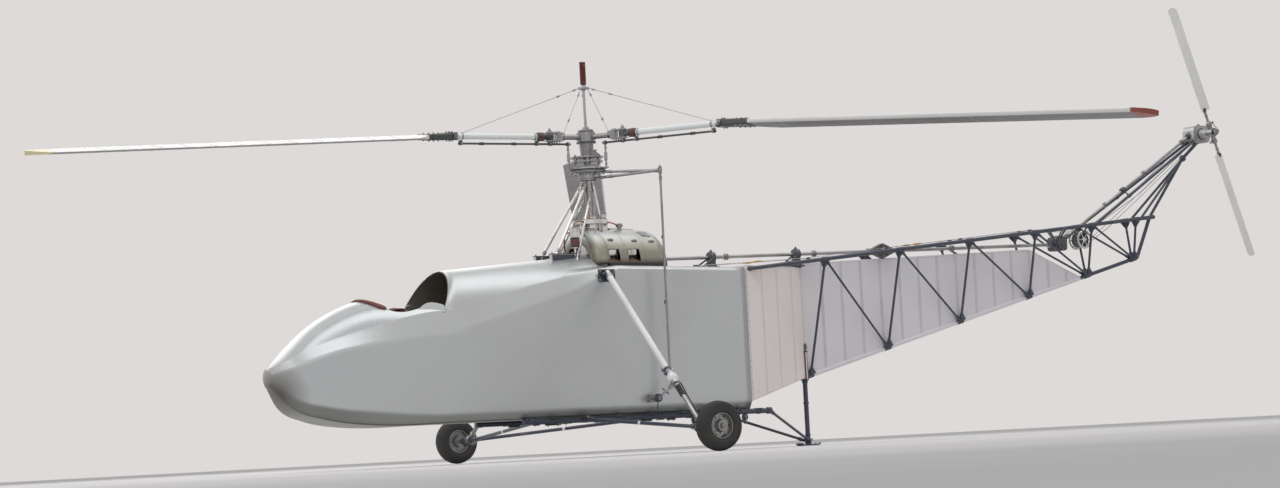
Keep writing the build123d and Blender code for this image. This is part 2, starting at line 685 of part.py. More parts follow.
# Fin: a fabric-covered panel in the boom's centre plane, from the wedge to the fourth bay
with BuildPart() as fin_panel:
    fin_front = x_at(WEDGE_STATION)
    fin_corner = between(KEEL_FRONT, KEEL_REAR, FIN_END_STATION)
    with BuildSketch(Plane.XZ.offset(-FIN_THICKNESS / 2)):
        with BuildLine():
            Polyline(
                (fin_front, KEEL_FRONT[2]),
                (fin_corner[0], fin_corner[2]),
                (x_at(BOOM_STATIONS[3]) + 40, FIN_TOP_REAR_Z),
                (fin_front, FIN_TOP_FRONT_Z),
                close=True,
            )
        make_face()
    extrude(amount=FIN_THICKNESS)
    add(boom_longerons.part, mode=Mode.SUBTRACT)
    tube((x_at(SKID_STATION), 0, 400), (x_at(SKID_STATION), 0, SKID_SHOCK_HIGH_Z), SKID_SHOCK_RADIUS,
         mode=Mode.SUBTRACT)
fin_panel.part.label = "fin_panel"
export_step(fin_panel.part, "parts/fin_panel.step")

# Tail gearbox and the pylon tubes that carry it
with BuildPart() as tail_gearbox:
    box_length, box_width, box_height = TAIL_BOX_SIZE
    with BuildSketch(Plane.XZ.offset(-box_width / 2)):
        with Locations((x_at(TAIL_ROTOR_STATION), TAIL_ROTOR_Z)):
            RectangleRounded(box_length, box_height, TAIL_BOX_CORNER)
    extrude(amount=box_width)
    with BuildSketch(Plane.XZ.offset(box_width / 2)):
        with Locations((x_at(TAIL_ROTOR_STATION), TAIL_ROTOR_Z)):
            Circle(TAIL_NECK_RADIUS)
    extrude(amount=-TAIL_ROTOR_Y - box_width / 2 - TAIL_HUB_GAP, taper=12)
    with BuildSketch(Plane.XZ.offset(-TAIL_ROTOR_Y - TAIL_HUB_GAP)):
        with Locations((x_at(TAIL_ROTOR_STATION), TAIL_ROTOR_Z)):
            Circle(TAIL_SHAFT_RADIUS + RUNNING_CLEARANCE)
    extrude(amount=-box_width / 2, mode=Mode.SUBTRACT)
tail_gearbox.part.label = "tail_gearbox"
export_step(tail_gearbox.part, "parts/tail_gearbox.step")

with BuildPart() as tail_pylon:
    for name, side in SIDES:
        tube(between(LONGERON_FRONT, LONGERON_REAR, PYLON_FEET[0], side), placed(PYLON_HEAD, side),
             PYLON_RADIUS)
        tube(between(LONGERON_FRONT, LONGERON_REAR, PYLON_FEET[1], side), placed(JUNCTION),
             PYLON_RADIUS - 2)
    tube(placed((LONGERON_REAR[0], 0, LONGERON_REAR[2])), placed(JUNCTION), PYLON_RADIUS)
    tube(placed(JUNCTION), placed(JUNCTION_HEAD), PYLON_RADIUS + 2)
    with Locations(placed(JUNCTION)):
        Sphere(JUNCTION_RADIUS)
    add(boom_longerons.part, mode=Mode.SUBTRACT)
    add(boom_end.part, mode=Mode.SUBTRACT)
    add(tail_gearbox.part, mode=Mode.SUBTRACT)
tail_pylon.part.label = "tail_pylon"
export_step(tail_pylon.part, "parts/tail_pylon.step")

# Drive to the tail: level shaft in pillow blocks, bevel box, and an inclined shaft
with BuildPart() as bevel_box:
    bevel_centre = placed((BEVEL_BOX_STATION, 0, BEVEL_BOX_Z))
    with BuildSketch(Plane.XZ.offset(-BEVEL_BOX_SIZE / 2)):
        with Locations((bevel_centre[0], bevel_centre[2])):
            RectangleRounded(BEVEL_BOX_SIZE, BEVEL_BOX_SIZE, 30)
    extrude(amount=BEVEL_BOX_SIZE)
    for name, side in SIDES:
        tube(bevel_centre, between(LONGERON_FRONT, LONGERON_REAR, BEVEL_BOX_STATION, side), 9)
    add(boom_longerons.part, mode=Mode.SUBTRACT)
bevel_box.part.label = "bevel_box"
export_step(bevel_box.part, "parts/bevel_box.step")

with BuildPart() as tail_shafts:
    tube(placed(SHAFT_FRONT), placed(SHAFT_REAR), SHAFT_RADIUS)
    tube(bevel_centre, placed(SHAFT_TOP), SHAFT_RADIUS - 2)
    add(bevel_box.part, mode=Mode.SUBTRACT)
    add(tail_gearbox.part, mode=Mode.SUBTRACT)
tail_shafts.part.label = "tail_shafts"
export_step(tail_shafts.part, "parts/tail_shafts.step")

with BuildPart() as shaft_supports:
    for station in BEARING_STATIONS:
        centre = between(SHAFT_FRONT, SHAFT_REAR, station)
        with BuildSketch(Plane.YZ.offset(centre[0] - BEARING_WIDTH / 2)):
            with Locations((0, centre[2])):
                Circle(BEARING_RADIUS)
            with Locations((0, (centre[2] + WEDGE_TOP_Z) / 2 - 10)):
                Rectangle(60, centre[2] - WEDGE_TOP_Z - 8)
        extrude(amount=BEARING_WIDTH)
    joint_centre = between(SHAFT_FRONT, SHAFT_REAR, JOINT_STATION)
    long_half, tall_half, thickness = JOINT_PLATE
    with BuildSketch(Plane.XZ.offset(-thickness / 2)):
        with Locations((joint_centre[0], joint_centre[2])):
            Polygon((-long_half, 0), (0, -tall_half), (long_half, 0), (0, tall_half), align=None)
    extrude(amount=thickness)
    for name, side in SIDES:
        tube(joint_centre, between(LONGERON_FRONT, LONGERON_REAR, JOINT_STATION, side), DIAGONAL_RADIUS)
    for neighbour in (tail_shafts, rear_shell, tail_wedge, fin_panel, boom_longerons, boom_posts):
        add(neighbour.part, mode=Mode.SUBTRACT)
    add(boom_diagonals.part, mode=Mode.SUBTRACT)
shaft_supports.part.label = "shaft_supports"
export_step(shaft_supports.part, "parts/shaft_supports.step")

with BuildPart() as control_drum:
    drum_centre = placed((DRUM_STATION, 0, DRUM_Z))
    with BuildSketch(Plane.XZ.offset(-DRUM_WIDTH / 2)):
        with Locations((drum_centre[0], drum_centre[2])):
            Circle(DRUM_RADIUS)
    extrude(amount=DRUM_WIDTH)
    for name, side in SIDES:
        tube(drum_centre, between(LONGERON_FRONT, LONGERON_REAR, DRUM_STATION, side), 8)
    add(boom_longerons.part, mode=Mode.SUBTRACT)
control_drum.part.label = "control_drum"
export_step(control_drum.part, "parts/control_drum.step")

# Engine: a plain block through the deck, four finned cylinders and the cowl over them
with BuildPart() as engine_block:
    with Locations((x_at(ENGINE_STATION), 0, ENGINE_BOTTOM_Z)):
        Box(ENGINE_LENGTH, ENGINE_WIDTH, ENGINE_TOP_Z - ENGINE_BOTTOM_Z,
            align=(Align.CENTER, Align.CENTER, Align.MIN))
    add(deck_crown.part, mode=Mode.SUBTRACT)
engine_block.part.label = "engine_block"
export_step(engine_block.part, "parts/engine_block.step")

with BuildPart() as engine_cylinders:
    for name, side in SIDES:
        for station in CYLINDER_STATIONS:
            foot = ENGINE_WIDTH / 2
            tube((x_at(station), side * foot, CYLINDER_Z),
                 (x_at(station), side * (foot + CYLINDER_LENGTH), CYLINDER_Z), BARREL_RADIUS)
            for fin in range(FIN_COUNT):
                y = foot + CYLINDER_LENGTH - FIN_GAUGE - FIN_PITCH * fin
                with Locations((x_at(station), side * (y + FIN_GAUGE / 2), CYLINDER_Z)):
                    Box(2 * CYLINDER_RADIUS, FIN_GAUGE, 2 * CYLINDER_RADIUS)
engine_cylinders.part.label = "engine_cylinders"
export_step(engine_cylinders.part, "parts/engine_cylinders.step")

# Main gearbox about the mast's axis: ribbed case, top flange with its filler, and the oil pump
with BuildPart() as main_gearbox:
    flange_z = GEARBOX_TOP_Z - GEARBOX_FLANGE_THICKNESS
    tube((MAST_X, 0, GEARBOX_FOOT_Z), (MAST_X, 0, flange_z), GEARBOX_RADIUS)
    tube((MAST_X, 0, flange_z), (MAST_X, 0, GEARBOX_TOP_Z), GEARBOX_FLANGE_RADIUS)
    with BuildSketch(Plane.XY.offset(ENGINE_TOP_Z)):
        with Locations((MAST_X, 0)):
            with PolarLocations(GEARBOX_RADIUS, GEARBOX_RIBS, start_angle=30):
                Rectangle(*GEARBOX_RIB_SIZE)
    extrude(amount=flange_z - ENGINE_TOP_Z)
    tube((MAST_X + FILLER_REACH, 0, GEARBOX_TOP_Z), (MAST_X + FILLER_REACH, 0, FILLER_TOP_Z), FILLER_RADIUS)
    for radius, low, high in PUMP_LENGTHS:
        tube((x_at(PUMP_STATION), PUMP_Y, low), (x_at(PUMP_STATION), PUMP_Y, high), radius)
    tube((x_at(PUMP_STATION), PUMP_Y, PUMP_BRACKET_Z), (MAST_X, 0, PUMP_BRACKET_Z), PUMP_BRACKET_RADIUS)
    for neighbour in (deck_crown, engine_block, engine_cylinders):
        add(neighbour.part, mode=Mode.SUBTRACT)
    loft(sections=[body_section(row) for row in BOX_ROWS], ruled=True, mode=Mode.SUBTRACT)
main_gearbox.part.label = "main_gearbox"
export_step(main_gearbox.part, "parts/main_gearbox.step")

with BuildPart() as mast:
    tube((MAST_X, 0, GEARBOX_TOP_Z), (MAST_X, 0, MAST_TOP_Z), MAST_RADIUS)
    tube((MAST_X, 0, STAR_Z - STAR_THICKNESS / 2), (MAST_X, 0, STAR_Z + STAR_THICKNESS / 2), STAR_RADIUS)
    tube((MAST_X, 0, STAR_Z - STAR_COLLAR_HEIGHT), (MAST_X, 0, STAR_Z), STAR_COLLAR_RADIUS)
    tube((MAST_X, 0, MAST_TOP_Z - MAST_BORE_DEPTH), (MAST_X, 0, MAST_TOP_Z),
         ROTOR_SHAFT_RADIUS + RUNNING_CLEARANCE, mode=Mode.SUBTRACT)
mast.part.label = "mast"
export_step(mast.part, "parts/mast.step")

with BuildPart() as pylon_legs:
    for name, side in SIDES:
        for foot, head in LEG_POINTS:
            tube(placed(foot, side), placed(head, side), LEG_RADIUS)
        with Locations((x_at(sum(LEG_RAIL) / 2), side * LEG_POINTS[0][0][1], LEG_RAIL_TOP_Z)):
            Box(LEG_RAIL[1] - LEG_RAIL[0], LEG_RAIL_WIDTH, LEG_RAIL_TOP_Z - GEARBOX_FOOT_Z,
                align=(Align.CENTER, Align.CENTER, Align.MAX))
    for azimuth in STAY_LEG_AZIMUTHS:
        tube(polar(GEARBOX_FLANGE_RADIUS - 18, azimuth, GEARBOX_TOP_Z - 4),
             polar(MAST_RADIUS, azimuth, STAY_LEG_TOP_Z), STAY_LEG_RADIUS)
    tube((MAST_X, 0, GEARBOX_FOOT_Z), (MAST_X, 0, MAST_TOP_Z), MAST_RADIUS, mode=Mode.SUBTRACT)
    for neighbour in (mast, main_gearbox, deck_crown, engine_block, engine_cylinders):
        add(neighbour.part, mode=Mode.SUBTRACT)
    loft(sections=[body_section(row) for row in BOX_ROWS], ruled=True, mode=Mode.SUBTRACT)
pylon_legs.part.label = "pylon_legs"
export_step(pylon_legs.part, "parts/pylon_legs.step")

with BuildPart() as engine_cowl:
    for inset, mode in ((0, Mode.ADD), (COWL_SKIN, Mode.SUBTRACT)):
        start, end = x_at(COWL_START), x_at(COWL_END)
        crown = DECK_Z + COWL_RADIUS - inset
        with BuildSketch(Plane.XZ):
            with BuildLine():
                shoulder = crown - COWL_TAPER
                corner = shoulder - COWL_TAIL_ROUND
                rounding = (end - COWL_TAIL_ROUND - inset, shoulder), (end - inset, corner)
                Polyline((end - inset, corner), (end - inset, DECK_Z), (start - inset, DECK_Z),
                         (start - inset, crown), rounding[0])
                if inset:
                    Line(*rounding)
                else:
                    RadiusArc(*rounding, COWL_TAIL_ROUND)
            make_face()
        revolve(axis=Axis((0, 0, DECK_Z), (1, 0, 0)), mode=mode)
    with Locations((x_at(0), 0, DECK_Z - 400)):
        Box(3000, 2000, 800, mode=Mode.SUBTRACT)
    loft(sections=[body_section(row) for row in BOX_ROWS], ruled=True, mode=Mode.SUBTRACT)
    window_z = CYLINDER_Z - CYLINDER_RADIUS + COWL_WINDOW_HEIGHT / 2 - 12
    with BuildSketch(Plane.XZ.offset(-500)):
        with Locations((x_at(CYLINDER_STATIONS[1]), window_z)):
            RectangleRounded(COWL_WINDOW_WIDTH, COWL_WINDOW_HEIGHT, 22)
        with Locations((x_at(CYLINDER_STATIONS[0]) - 15, window_z)):
            Rectangle(COWL_WINDOW_WIDTH, COWL_WINDOW_HEIGHT)
    extrude(amount=1000, mode=Mode.SUBTRACT)
    tube((MAST_X, 0, CYLINDER_Z + 160), (MAST_X, 0, GEARBOX_TOP_Z), GEARBOX_FLANGE_RADIUS + 12,
         mode=Mode.SUBTRACT)
    add(tail_shafts.part, mode=Mode.SUBTRACT)
    add(deck_crown.part, mode=Mode.SUBTRACT)
engine_cowl.part.label = "engine_cowl"
export_step(engine_cowl.part, "parts/engine_cowl.step")

# Blade-pitch control on the port side: bracket, rod and bellcrank
with BuildPart() as control_bracket:
    bracket_tip = (x_at(BRACKET_STATION), BRACKET_Y, BRACKET_Z)
    for root_z in (STAR_Z, STAR_Z - STAR_COLLAR_HEIGHT + BRACKET_RADIUS):
        tube((MAST_X, 0, root_z), bracket_tip, BRACKET_RADIUS)
    tube((bracket_tip[0], BRACKET_Y, BRACKET_Z - 24), (bracket_tip[0], BRACKET_Y, BRACKET_Z + 20),
         BRACKET_RADIUS + 4)
    add(mast.part, mode=Mode.SUBTRACT)
    tube((MAST_X, 0, STAR_Z - 100), (MAST_X, 0, MAST_TOP_Z), MAST_RADIUS, mode=Mode.SUBTRACT)
control_bracket.part.label = "control_bracket"
export_step(control_bracket.part, "parts/control_bracket.step")

with BuildPart() as bellcrank:
    pivot = placed(BELLCRANK, -1)
    lever_end = (x_at(BRACKET_STATION), BRACKET_Y + 10, CONTROL_ROD_FOOT_Z)
    for inner, outer, radius in BELLCRANK_LENGTHS:
        tube((pivot[0], inner, pivot[2]), (pivot[0], outer, pivot[2]), radius)
    tube((pivot[0], LEVER_Y, pivot[2]), lever_end, LEVER_RADIUS)
    tube((lever_end[0], lever_end[1] - 22, lever_end[2]), (lever_end[0], lever_end[1] + 14, lever_end[2]),
         CONTROL_ROD_RADIUS + 6)
    with Locations((pivot[0], pivot[1] - BELLCRANK_BASE[1] / 2, pivot[2])):
        Box(*BELLCRANK_BASE)
    add(rear_shell.part, mode=Mode.SUBTRACT)
    split(bisect_by=Plane.XZ.offset(BELLCRANK[1] - 5), keep=Keep.TOP)
bellcrank.part.label = "bellcrank"
export_step(bellcrank.part, "parts/bellcrank.step")

with BuildPart() as control_rod:
    tube(lever_end, (bracket_tip[0], BRACKET_Y, BRACKET_Z), CONTROL_ROD_RADIUS)
    add(bellcrank.part, mode=Mode.SUBTRACT)
    add(control_bracket.part, mode=Mode.SUBTRACT)
control_rod.part.label = "control_rod"
export_step(control_rod.part, "parts/control_rod.step")

# Landing gear: belly tubes, shock struts, drag tubes and knuckles, both sides alike
with BuildPart() as belly_tubes:
    for name, side in SIDES:
        y = side * BELLY_TUBE_Y
        tube((x_at(BELLY_TUBE_FRONT), y, BELLY_TUBE_Z), (x_at(BELLY_TUBE_REAR), y, BELLY_TUBE_Z),
             BELLY_TUBE_RADIUS)
        tube((x_at(BELLY_TUBE_REAR) - 22, y, BELLY_TUBE_Z), (x_at(BELLY_TUBE_REAR), y, BELLY_TUBE_Z),
             BELLY_TUBE_RADIUS + 5)
    loft(sections=[body_section(row) for row in (ARCH_ROW, DECK_ROW)], ruled=True, mode=Mode.SUBTRACT)
    loft(sections=[body_section(row) for row in BOX_ROWS], ruled=True, mode=Mode.SUBTRACT)
    for name, side in SIDES:
        y = side * BELLY_TUBE_Y
        with BuildSketch(Plane.XZ.offset(-y - LUG_THICKNESS / 2)):
            with Locations((x_at(LUG_STATION), LUG_Z)):
                Circle(24)
            with Locations((x_at(LUG_STATION), (LUG_Z + BELLY_TUBE_Z) / 2)):
                Rectangle(36, BELLY_TUBE_Z - LUG_Z - 20)
            with Locations((x_at(LUG_STATION), LUG_Z)):
                Circle(LUG_BORE_RADIUS, mode=Mode.SUBTRACT)
        extrude(amount=LUG_THICKNESS)
belly_tubes.part.label = "belly_tubes"
export_step(belly_tubes.part, "parts/belly_tubes.step")

with BuildPart() as axle_knuckles:
    for name, side in SIDES:
        centre = (x_at(WHEEL_STATION), TYRE_RADIUS)
        for inner, outer, radius in (
            (KNUCKLE_Y + KNUCKLE_REACH[0], KNUCKLE_Y + KNUCKLE_REACH[1], KNUCKLE_RADIUS),
            (KNUCKLE_Y + KNUCKLE_REACH[1], AXLE_END_Y, AXLE_RADIUS),
            (AXLE_END_Y, AXLE_END_Y + 10, AXLE_RADIUS + 8),
        ):
            tube((centre[0], side * inner, centre[1]), (centre[0], side * outer, centre[1]), radius)
axle_knuckles.part.label = "axle_knuckles"
export_step(axle_knuckles.part, "parts/axle_knuckles.step")

with BuildPart() as shock_struts:
    strut_foot = Vector(WHEEL_STATION, KNUCKLE_Y, TYRE_RADIUS)
    strut_run = strut_foot - Vector(*STRUT_TOP)
    sleeve_end = Vector(*STRUT_TOP) + strut_run.normalized() * STRUT_SLEEVE_LENGTH
    for name, side in SIDES:
        tube(placed(STRUT_TOP, side), placed(tuple(sleeve_end), side), STRUT_RADIUS)
    add(rear_shell.part, mode=Mode.SUBTRACT)
shock_struts.part.label = "shock_struts"
export_step(shock_struts.part, "parts/shock_struts.step")

with BuildPart() as shock_pistons:
    collar_end = sleeve_end + strut_run.normalized() * CLAMP_LENGTH
    for name, side in SIDES:
        tube(placed(tuple(sleeve_end), side), placed(tuple(strut_foot), side), PISTON_RADIUS)
        tube(placed(tuple(sleeve_end), side), placed(tuple(collar_end), side), STRUT_RADIUS + 8)
    add(axle_knuckles.part, mode=Mode.SUBTRACT)
shock_pistons.part.label = "shock_pistons"
export_step(shock_pistons.part, "parts/shock_pistons.step")

with BuildPart() as drag_tubes:
    for name, side in SIDES:
        for station, offset in DRAG_ENDS:
            tube((x_at(WHEEL_STATION), side * (KNUCKLE_Y + offset), TYRE_RADIUS),
                 (x_at(station), side * BELLY_TUBE_Y, BELLY_TUBE_Z), DRAG_RADIUS)
    add(axle_knuckles.part, mode=Mode.SUBTRACT)
    add(belly_tubes.part, mode=Mode.SUBTRACT)
    add(shock_pistons.part, mode=Mode.SUBTRACT)
drag_tubes.part.label = "drag_tubes"
export_step(drag_tubes.part, "parts/drag_tubes.step")

with BuildPart() as skid_braces:
    for name, side in SIDES:
        tube((x_at(BELLY_TUBE_REAR) - 12, side * BELLY_TUBE_Y, BELLY_TUBE_Z),
             (x_at(SKID_STATION), side * 20, 36), SKID_BRACE_RADIUS)
    add(belly_tubes.part, mode=Mode.SUBTRACT)
    add(tail_skid.part, mode=Mode.SUBTRACT)
skid_braces.part.label = "skid_braces"
export_step(skid_braces.part, "parts/skid_braces.step")

# Wheels
for name, side in SIDES:
    wheel_axis = Axis((x_at(WHEEL_STATION), 0, TYRE_RADIUS), (0, 1, 0))
    with BuildPart() as rim:
        with BuildSketch(Plane.YZ.offset(x_at(WHEEL_STATION))):
            with BuildLine():
                y = side * WHEEL_Y
                row = [(RIM_PROFILE[0][0], AXLE_RADIUS + RUNNING_CLEARANCE), *RIM_PROFILE]
                outer = [(y + across, TYRE_RADIUS + reach) for across, reach in row]
                inner = [(y - across, TYRE_RADIUS + reach) for across, reach in row[::-1]]
                Polyline(*outer, *inner, close=True)
            make_face()
        revolve(axis=wheel_axis)
    rim.part.label = f"rim_{name}"
    export_step(rim.part, f"parts/rim_{name}.step")

    with BuildPart() as tyre:
        with BuildSketch(Plane.YZ.offset(x_at(WHEEL_STATION))):
            with BuildLine():
                half_width = TYRE_WIDTH / 2
                row = [(share * half_width, TYRE_RADIUS + reach) for share, reach in TYRE_PROFILE]
                outer = [(y + across, height) for across, height in row]
                inner = [(y - across, height) for across, height in row[:0:-1]]
                Polyline(*outer, *inner, close=True)
            make_face()
        revolve(axis=wheel_axis)
    tyre.part.label = f"tyre_{name}"
    export_step(tyre.part, f"parts/tyre_{name}.step")


def blade_plane(azimuth, droop):
    """The blade's own plane: z out along the drooped span, x to the leading edge at pitch."""
    a, d, p = (math.radians(angle) for angle in (azimuth, droop, BLADE_PITCH))
    span = Vector(math.cos(a) * math.cos(d), math.sin(a) * math.cos(d), -math.sin(d))
    level_edge = Vector(math.sin(a), -math.cos(a), 0)
    leading_edge = level_edge * math.cos(p) + level_edge.cross(span) * math.sin(p)
    return Plane(origin=polar(DROOP_HINGE_RADIUS, azimuth, ROTOR_PLANE_Z), x_dir=leading_edge, z_dir=span)


def airfoil(plane, chord, thickness):
    """A blunt-nosed symmetric section with its quarter chord on the span axis."""
    nose, tail, deep = 0.27 * chord, -0.73 * chord, thickness / 2
    with BuildSketch(plane) as section:
        with BuildLine():
            round_end = nose - 0.08 * chord
            flat_start = nose - 0.58 * chord
            ThreePointArc((round_end, deep * 0.84), (nose, 0), (round_end, -deep * 0.84))
            for sign in (1, -1):
                ThreePointArc(
                    (round_end, sign * deep * 0.84),
                    (nose - 0.30 * chord, sign * deep),
                    (flat_start, sign * deep * 0.76),
                )
                Line((flat_start, sign * deep * 0.76), (tail, sign * 1.5))
            Line((tail, 1.5), (tail, -1.5))
        make_face()
    return section.sketch


# Main rotor: hub on the shaft, twin plates, rotating ring with its pitch links, inner arms and forks
with BuildPart() as rotor_hub:
    ring_z = STAR_Z + STAR_THICKNESS / 2 + ROTOR_CLEARANCE
    rod_z = ROTOR_PLANE_Z - PITCH_ROD_DROP
    tube((MAST_X, 0, MAST_TOP_Z - MAST_BORE_DEPTH + 10), (MAST_X, 0, ROTOR_PLANE_Z), ROTOR_SHAFT_RADIUS)
    with BuildSketch(Plane.XZ):
        with BuildLine():
            Polyline(
                (MAST_X, HUB_FOOT_Z),
                (MAST_X + ROTOR_SHAFT_RADIUS + 18, HUB_FOOT_Z),
                (MAST_X + HUB_RADIUS - 16, ROTOR_PLANE_Z - HUB_HEIGHT / 2),
                (MAST_X + HUB_RADIUS, ROTOR_PLANE_Z - HUB_HEIGHT / 2 + 12),
                (MAST_X + HUB_RADIUS, ROTOR_PLANE_Z + HUB_HEIGHT / 2 - 12),
                (MAST_X + HUB_RADIUS - 24, ROTOR_PLANE_Z + HUB_HEIGHT / 2),
                (MAST_X, ROTOR_PLANE_Z + HUB_HEIGHT / 2),
                close=True,
            )
        make_face()
    revolve(axis=Axis((MAST_X, 0, 0), (0, 0, 1)))
    lower_plate_z = HUB_FOOT_Z - HUB_PLATE_GAP - HUB_PLATE_THICKNESS
    for z, radius in ((HUB_FOOT_Z, HUB_PLATE_RADIUS), (lower_plate_z, HUB_PLATE_RADIUS - 6)):
        tube((MAST_X, 0, z), (MAST_X, 0, z + HUB_PLATE_THICKNESS), radius)
    with BuildSketch(Plane.XY.offset(lower_plate_z)):
        with Locations((MAST_X, 0)):
            with PolarLocations(HUB_PLATE_RADIUS - 22, HUB_PLATE_BOLTS):
                Circle(ARM_BRACKET_RADIUS)
    extrude(amount=HUB_PLATE_GAP + HUB_PLATE_THICKNESS)
    with BuildSketch(Plane.XY.offset(ring_z)):
        with Locations((MAST_X, 0)):
            Circle(STAR_RADIUS + 4)
        for name, azimuth, droop in BLADES:
            with Locations(Location((MAST_X, 0), azimuth)):
                Rectangle(PITCH_LINK_REACH + 14, LUG_BAR_WIDTH, align=(Align.MIN, Align.CENTER))
        with Locations((MAST_X, 0)):
            Circle(MAST_RADIUS + 2 * ROTOR_CLEARANCE, mode=Mode.SUBTRACT)
    extrude(amount=HUB_PLATE_THICKNESS)
    for name, azimuth, droop in BLADES:
        tube(polar(0, azimuth, ROTOR_PLANE_Z), polar(DRAG_HINGE_REACH - 90, azimuth, ROTOR_PLANE_Z),
             INNER_ARM_RADIUS)
        tube(polar(PITCH_LINK_REACH, azimuth, ring_z),
             polar(PITCH_LINK_REACH, azimuth, rod_z - ROD_END_RADIUS), PITCH_LINK_RADIUS)
        hinge = Plane(
            origin=polar(0, azimuth, ROTOR_PLANE_Z), x_dir=polar_direction(azimuth), z_dir=(0, 0, 1)
        )
        fork_reach = DRAG_HINGE_REACH + 34 - FORK_PLATE_LENGTH
        for low in (FORK_GAP / 2, -FORK_GAP / 2 - FORK_PLATE_THICKNESS):
            with BuildSketch(hinge.offset(low)):
                with Locations((fork_reach, 0)):
                    Rectangle(FORK_PLATE_LENGTH, FORK_PLATE_WIDTH, align=(Align.MIN, Align.CENTER))
            extrude(amount=FORK_PLATE_THICKNESS)
        with BuildSketch(hinge.offset(-FORK_GAP / 2)):
            with Locations((fork_reach, 0)):
                Rectangle(40, FORK_PLATE_WIDTH, align=(Align.MIN, Align.CENTER))
        extrude(amount=FORK_GAP)
        with BuildSketch(hinge.offset(-FORK_GAP / 2 - FORK_PLATE_THICKNESS - 6)):
            with Locations((DRAG_HINGE_REACH, 0)):
                Circle(DRAG_PIN_RADIUS)
        extrude(amount=FORK_GAP + 2 * (FORK_PLATE_THICKNESS + 6))
rotor_hub.part.label = "rotor_hub"
export_step(rotor_hub.part, "parts/rotor_hub.step")

with BuildPart() as blade_cuffs:
    for name, azimuth, droop in BLADES:
        root = blade_plane(azimuth, droop)
        for reach, width, depth, corner in CUFF_SECTIONS:
            with BuildSketch(root.offset(reach)):
                RectangleRounded(width, depth, corner)
        loft(ruled=True)
blade_cuffs.part.label = "blade_cuffs"
export_step(blade_cuffs.part, "parts/blade_cuffs.step")

with BuildPart() as rotor_arms:
    for name, azimuth, droop in BLADES:
        with BuildSketch(Plane.XY.offset(ROTOR_PLANE_Z - FORK_GAP / 2 + 1)):
            with Locations(polar(DRAG_HINGE_REACH, azimuth, 0)[:2]):
                Circle(ARM_EYE_RADIUS)
        extrude(amount=FORK_GAP - 2)
        tube(polar(DRAG_HINGE_REACH, azimuth, ROTOR_PLANE_Z),
             polar(DROOP_HINGE_RADIUS, azimuth, ROTOR_PLANE_Z), ARM_RADIUS)
        tube(polar(PITCH_LINK_REACH - 24, azimuth, rod_z), polar(DROOP_HINGE_RADIUS - 40, azimuth, rod_z),
             PITCH_ROD_RADIUS)
        tube(polar(PITCH_LINK_REACH, azimuth, rod_z - ROD_END_RADIUS),
             polar(PITCH_LINK_REACH, azimuth, rod_z + ROD_END_RADIUS), ROD_END_RADIUS)
        for radius in PITCH_ROD_BRACKETS:
            with BuildSketch(Plane.XY.offset(rod_z - ARM_BRACKET_RADIUS)):
                with Locations(Location(polar(radius, azimuth, 0)[:2], azimuth)):
                    Rectangle(2 * ARM_BRACKET_RADIUS, 2 * ARM_BRACKET_RADIUS)
            extrude(amount=PITCH_ROD_DROP + ARM_BRACKET_RADIUS)
    add(blade_cuffs.part, mode=Mode.SUBTRACT)
    add(rotor_hub.part, mode=Mode.SUBTRACT)
rotor_arms.part.label = "rotor_arms"
export_step(rotor_arms.part, "parts/rotor_arms.step")

with BuildPart() as main_blades:
    blade_length = MAIN_ROTOR_RADIUS - DROOP_HINGE_RADIUS - CUFF_LENGTH
    front, back = 0.28 * BLADE_CHORD, -0.74 * BLADE_CHORD
    middle = (front + back) / 2
    for name, azimuth, droop in BLADES:
        root = blade_plane(azimuth, droop).offset(CUFF_LENGTH)
        extrude(airfoil(root, BLADE_CHORD, BLADE_THICKNESS), amount=blade_length)
        with BuildSketch(Plane(origin=root.origin, x_dir=root.z_dir, z_dir=root.z_dir.cross(root.x_dir))):
            with Locations((blade_length / 2, middle)):
                Rectangle(blade_length + 40, BLADE_CHORD + 60)
            with BuildLine():
                Line((0, front * 0.9), (120, front))
                Line((120, front), (blade_length - 260, front))
                ThreePointArc(
                    (blade_length - 260, front),
                    (blade_length - 70, front * 0.62 + middle * 0.38),
                    (blade_length, middle),
                )
                ThreePointArc(
                    (blade_length, middle),
                    (blade_length - 70, back * 0.62 + middle * 0.38),
                    (blade_length - 260, back),
                )
                Line((blade_length - 260, back), (150, back))
                Line((150, back), (0, back * 0.45))
                Line((0, back * 0.45), (0, front * 0.9))
            make_face(mode=Mode.SUBTRACT)
        extrude(amount=60, both=True, mode=Mode.SUBTRACT)
main_blades.part.label = "main_blades"
export_step(main_blades.part, "parts/main_blades.step")

# King post with its cross disc, hoisting cap and the stays that hold the blades' droop
with BuildPart() as king_post:
    tube((MAST_X, 0, ROTOR_PLANE_Z + HUB_HEIGHT / 2), (MAST_X, 0, KING_CAP_Z), KING_POST_RADIUS)
    tube((MAST_X, 0, KING_CROSS_Z - 6), (MAST_X, 0, KING_CROSS_Z + 6), KING_CROSS_RADIUS)
    with BuildSketch(Plane.XY.offset(KING_CAP_Z)):
        with Locations((MAST_X, 0)):
            Circle(KING_CAP_RADIUS)
            Rectangle(2 * KING_CAP_RADIUS, KING_FLAT_WIDTH, mode=Mode.INTERSECT)
    extrude(amount=KING_TOP_Z - KING_CAP_Z)
    with BuildSketch(Plane.XZ.offset(-KING_FLAT_WIDTH)):
        with Locations((MAST_X, HOIST_BORE_Z)):
            Circle(HOIST_BORE_RADIUS)
    extrude(amount=2 * KING_FLAT_WIDTH, mode=Mode.SUBTRACT)
king_post.part.label = "king_post"
export_step(king_post.part, "parts/king_post.step")

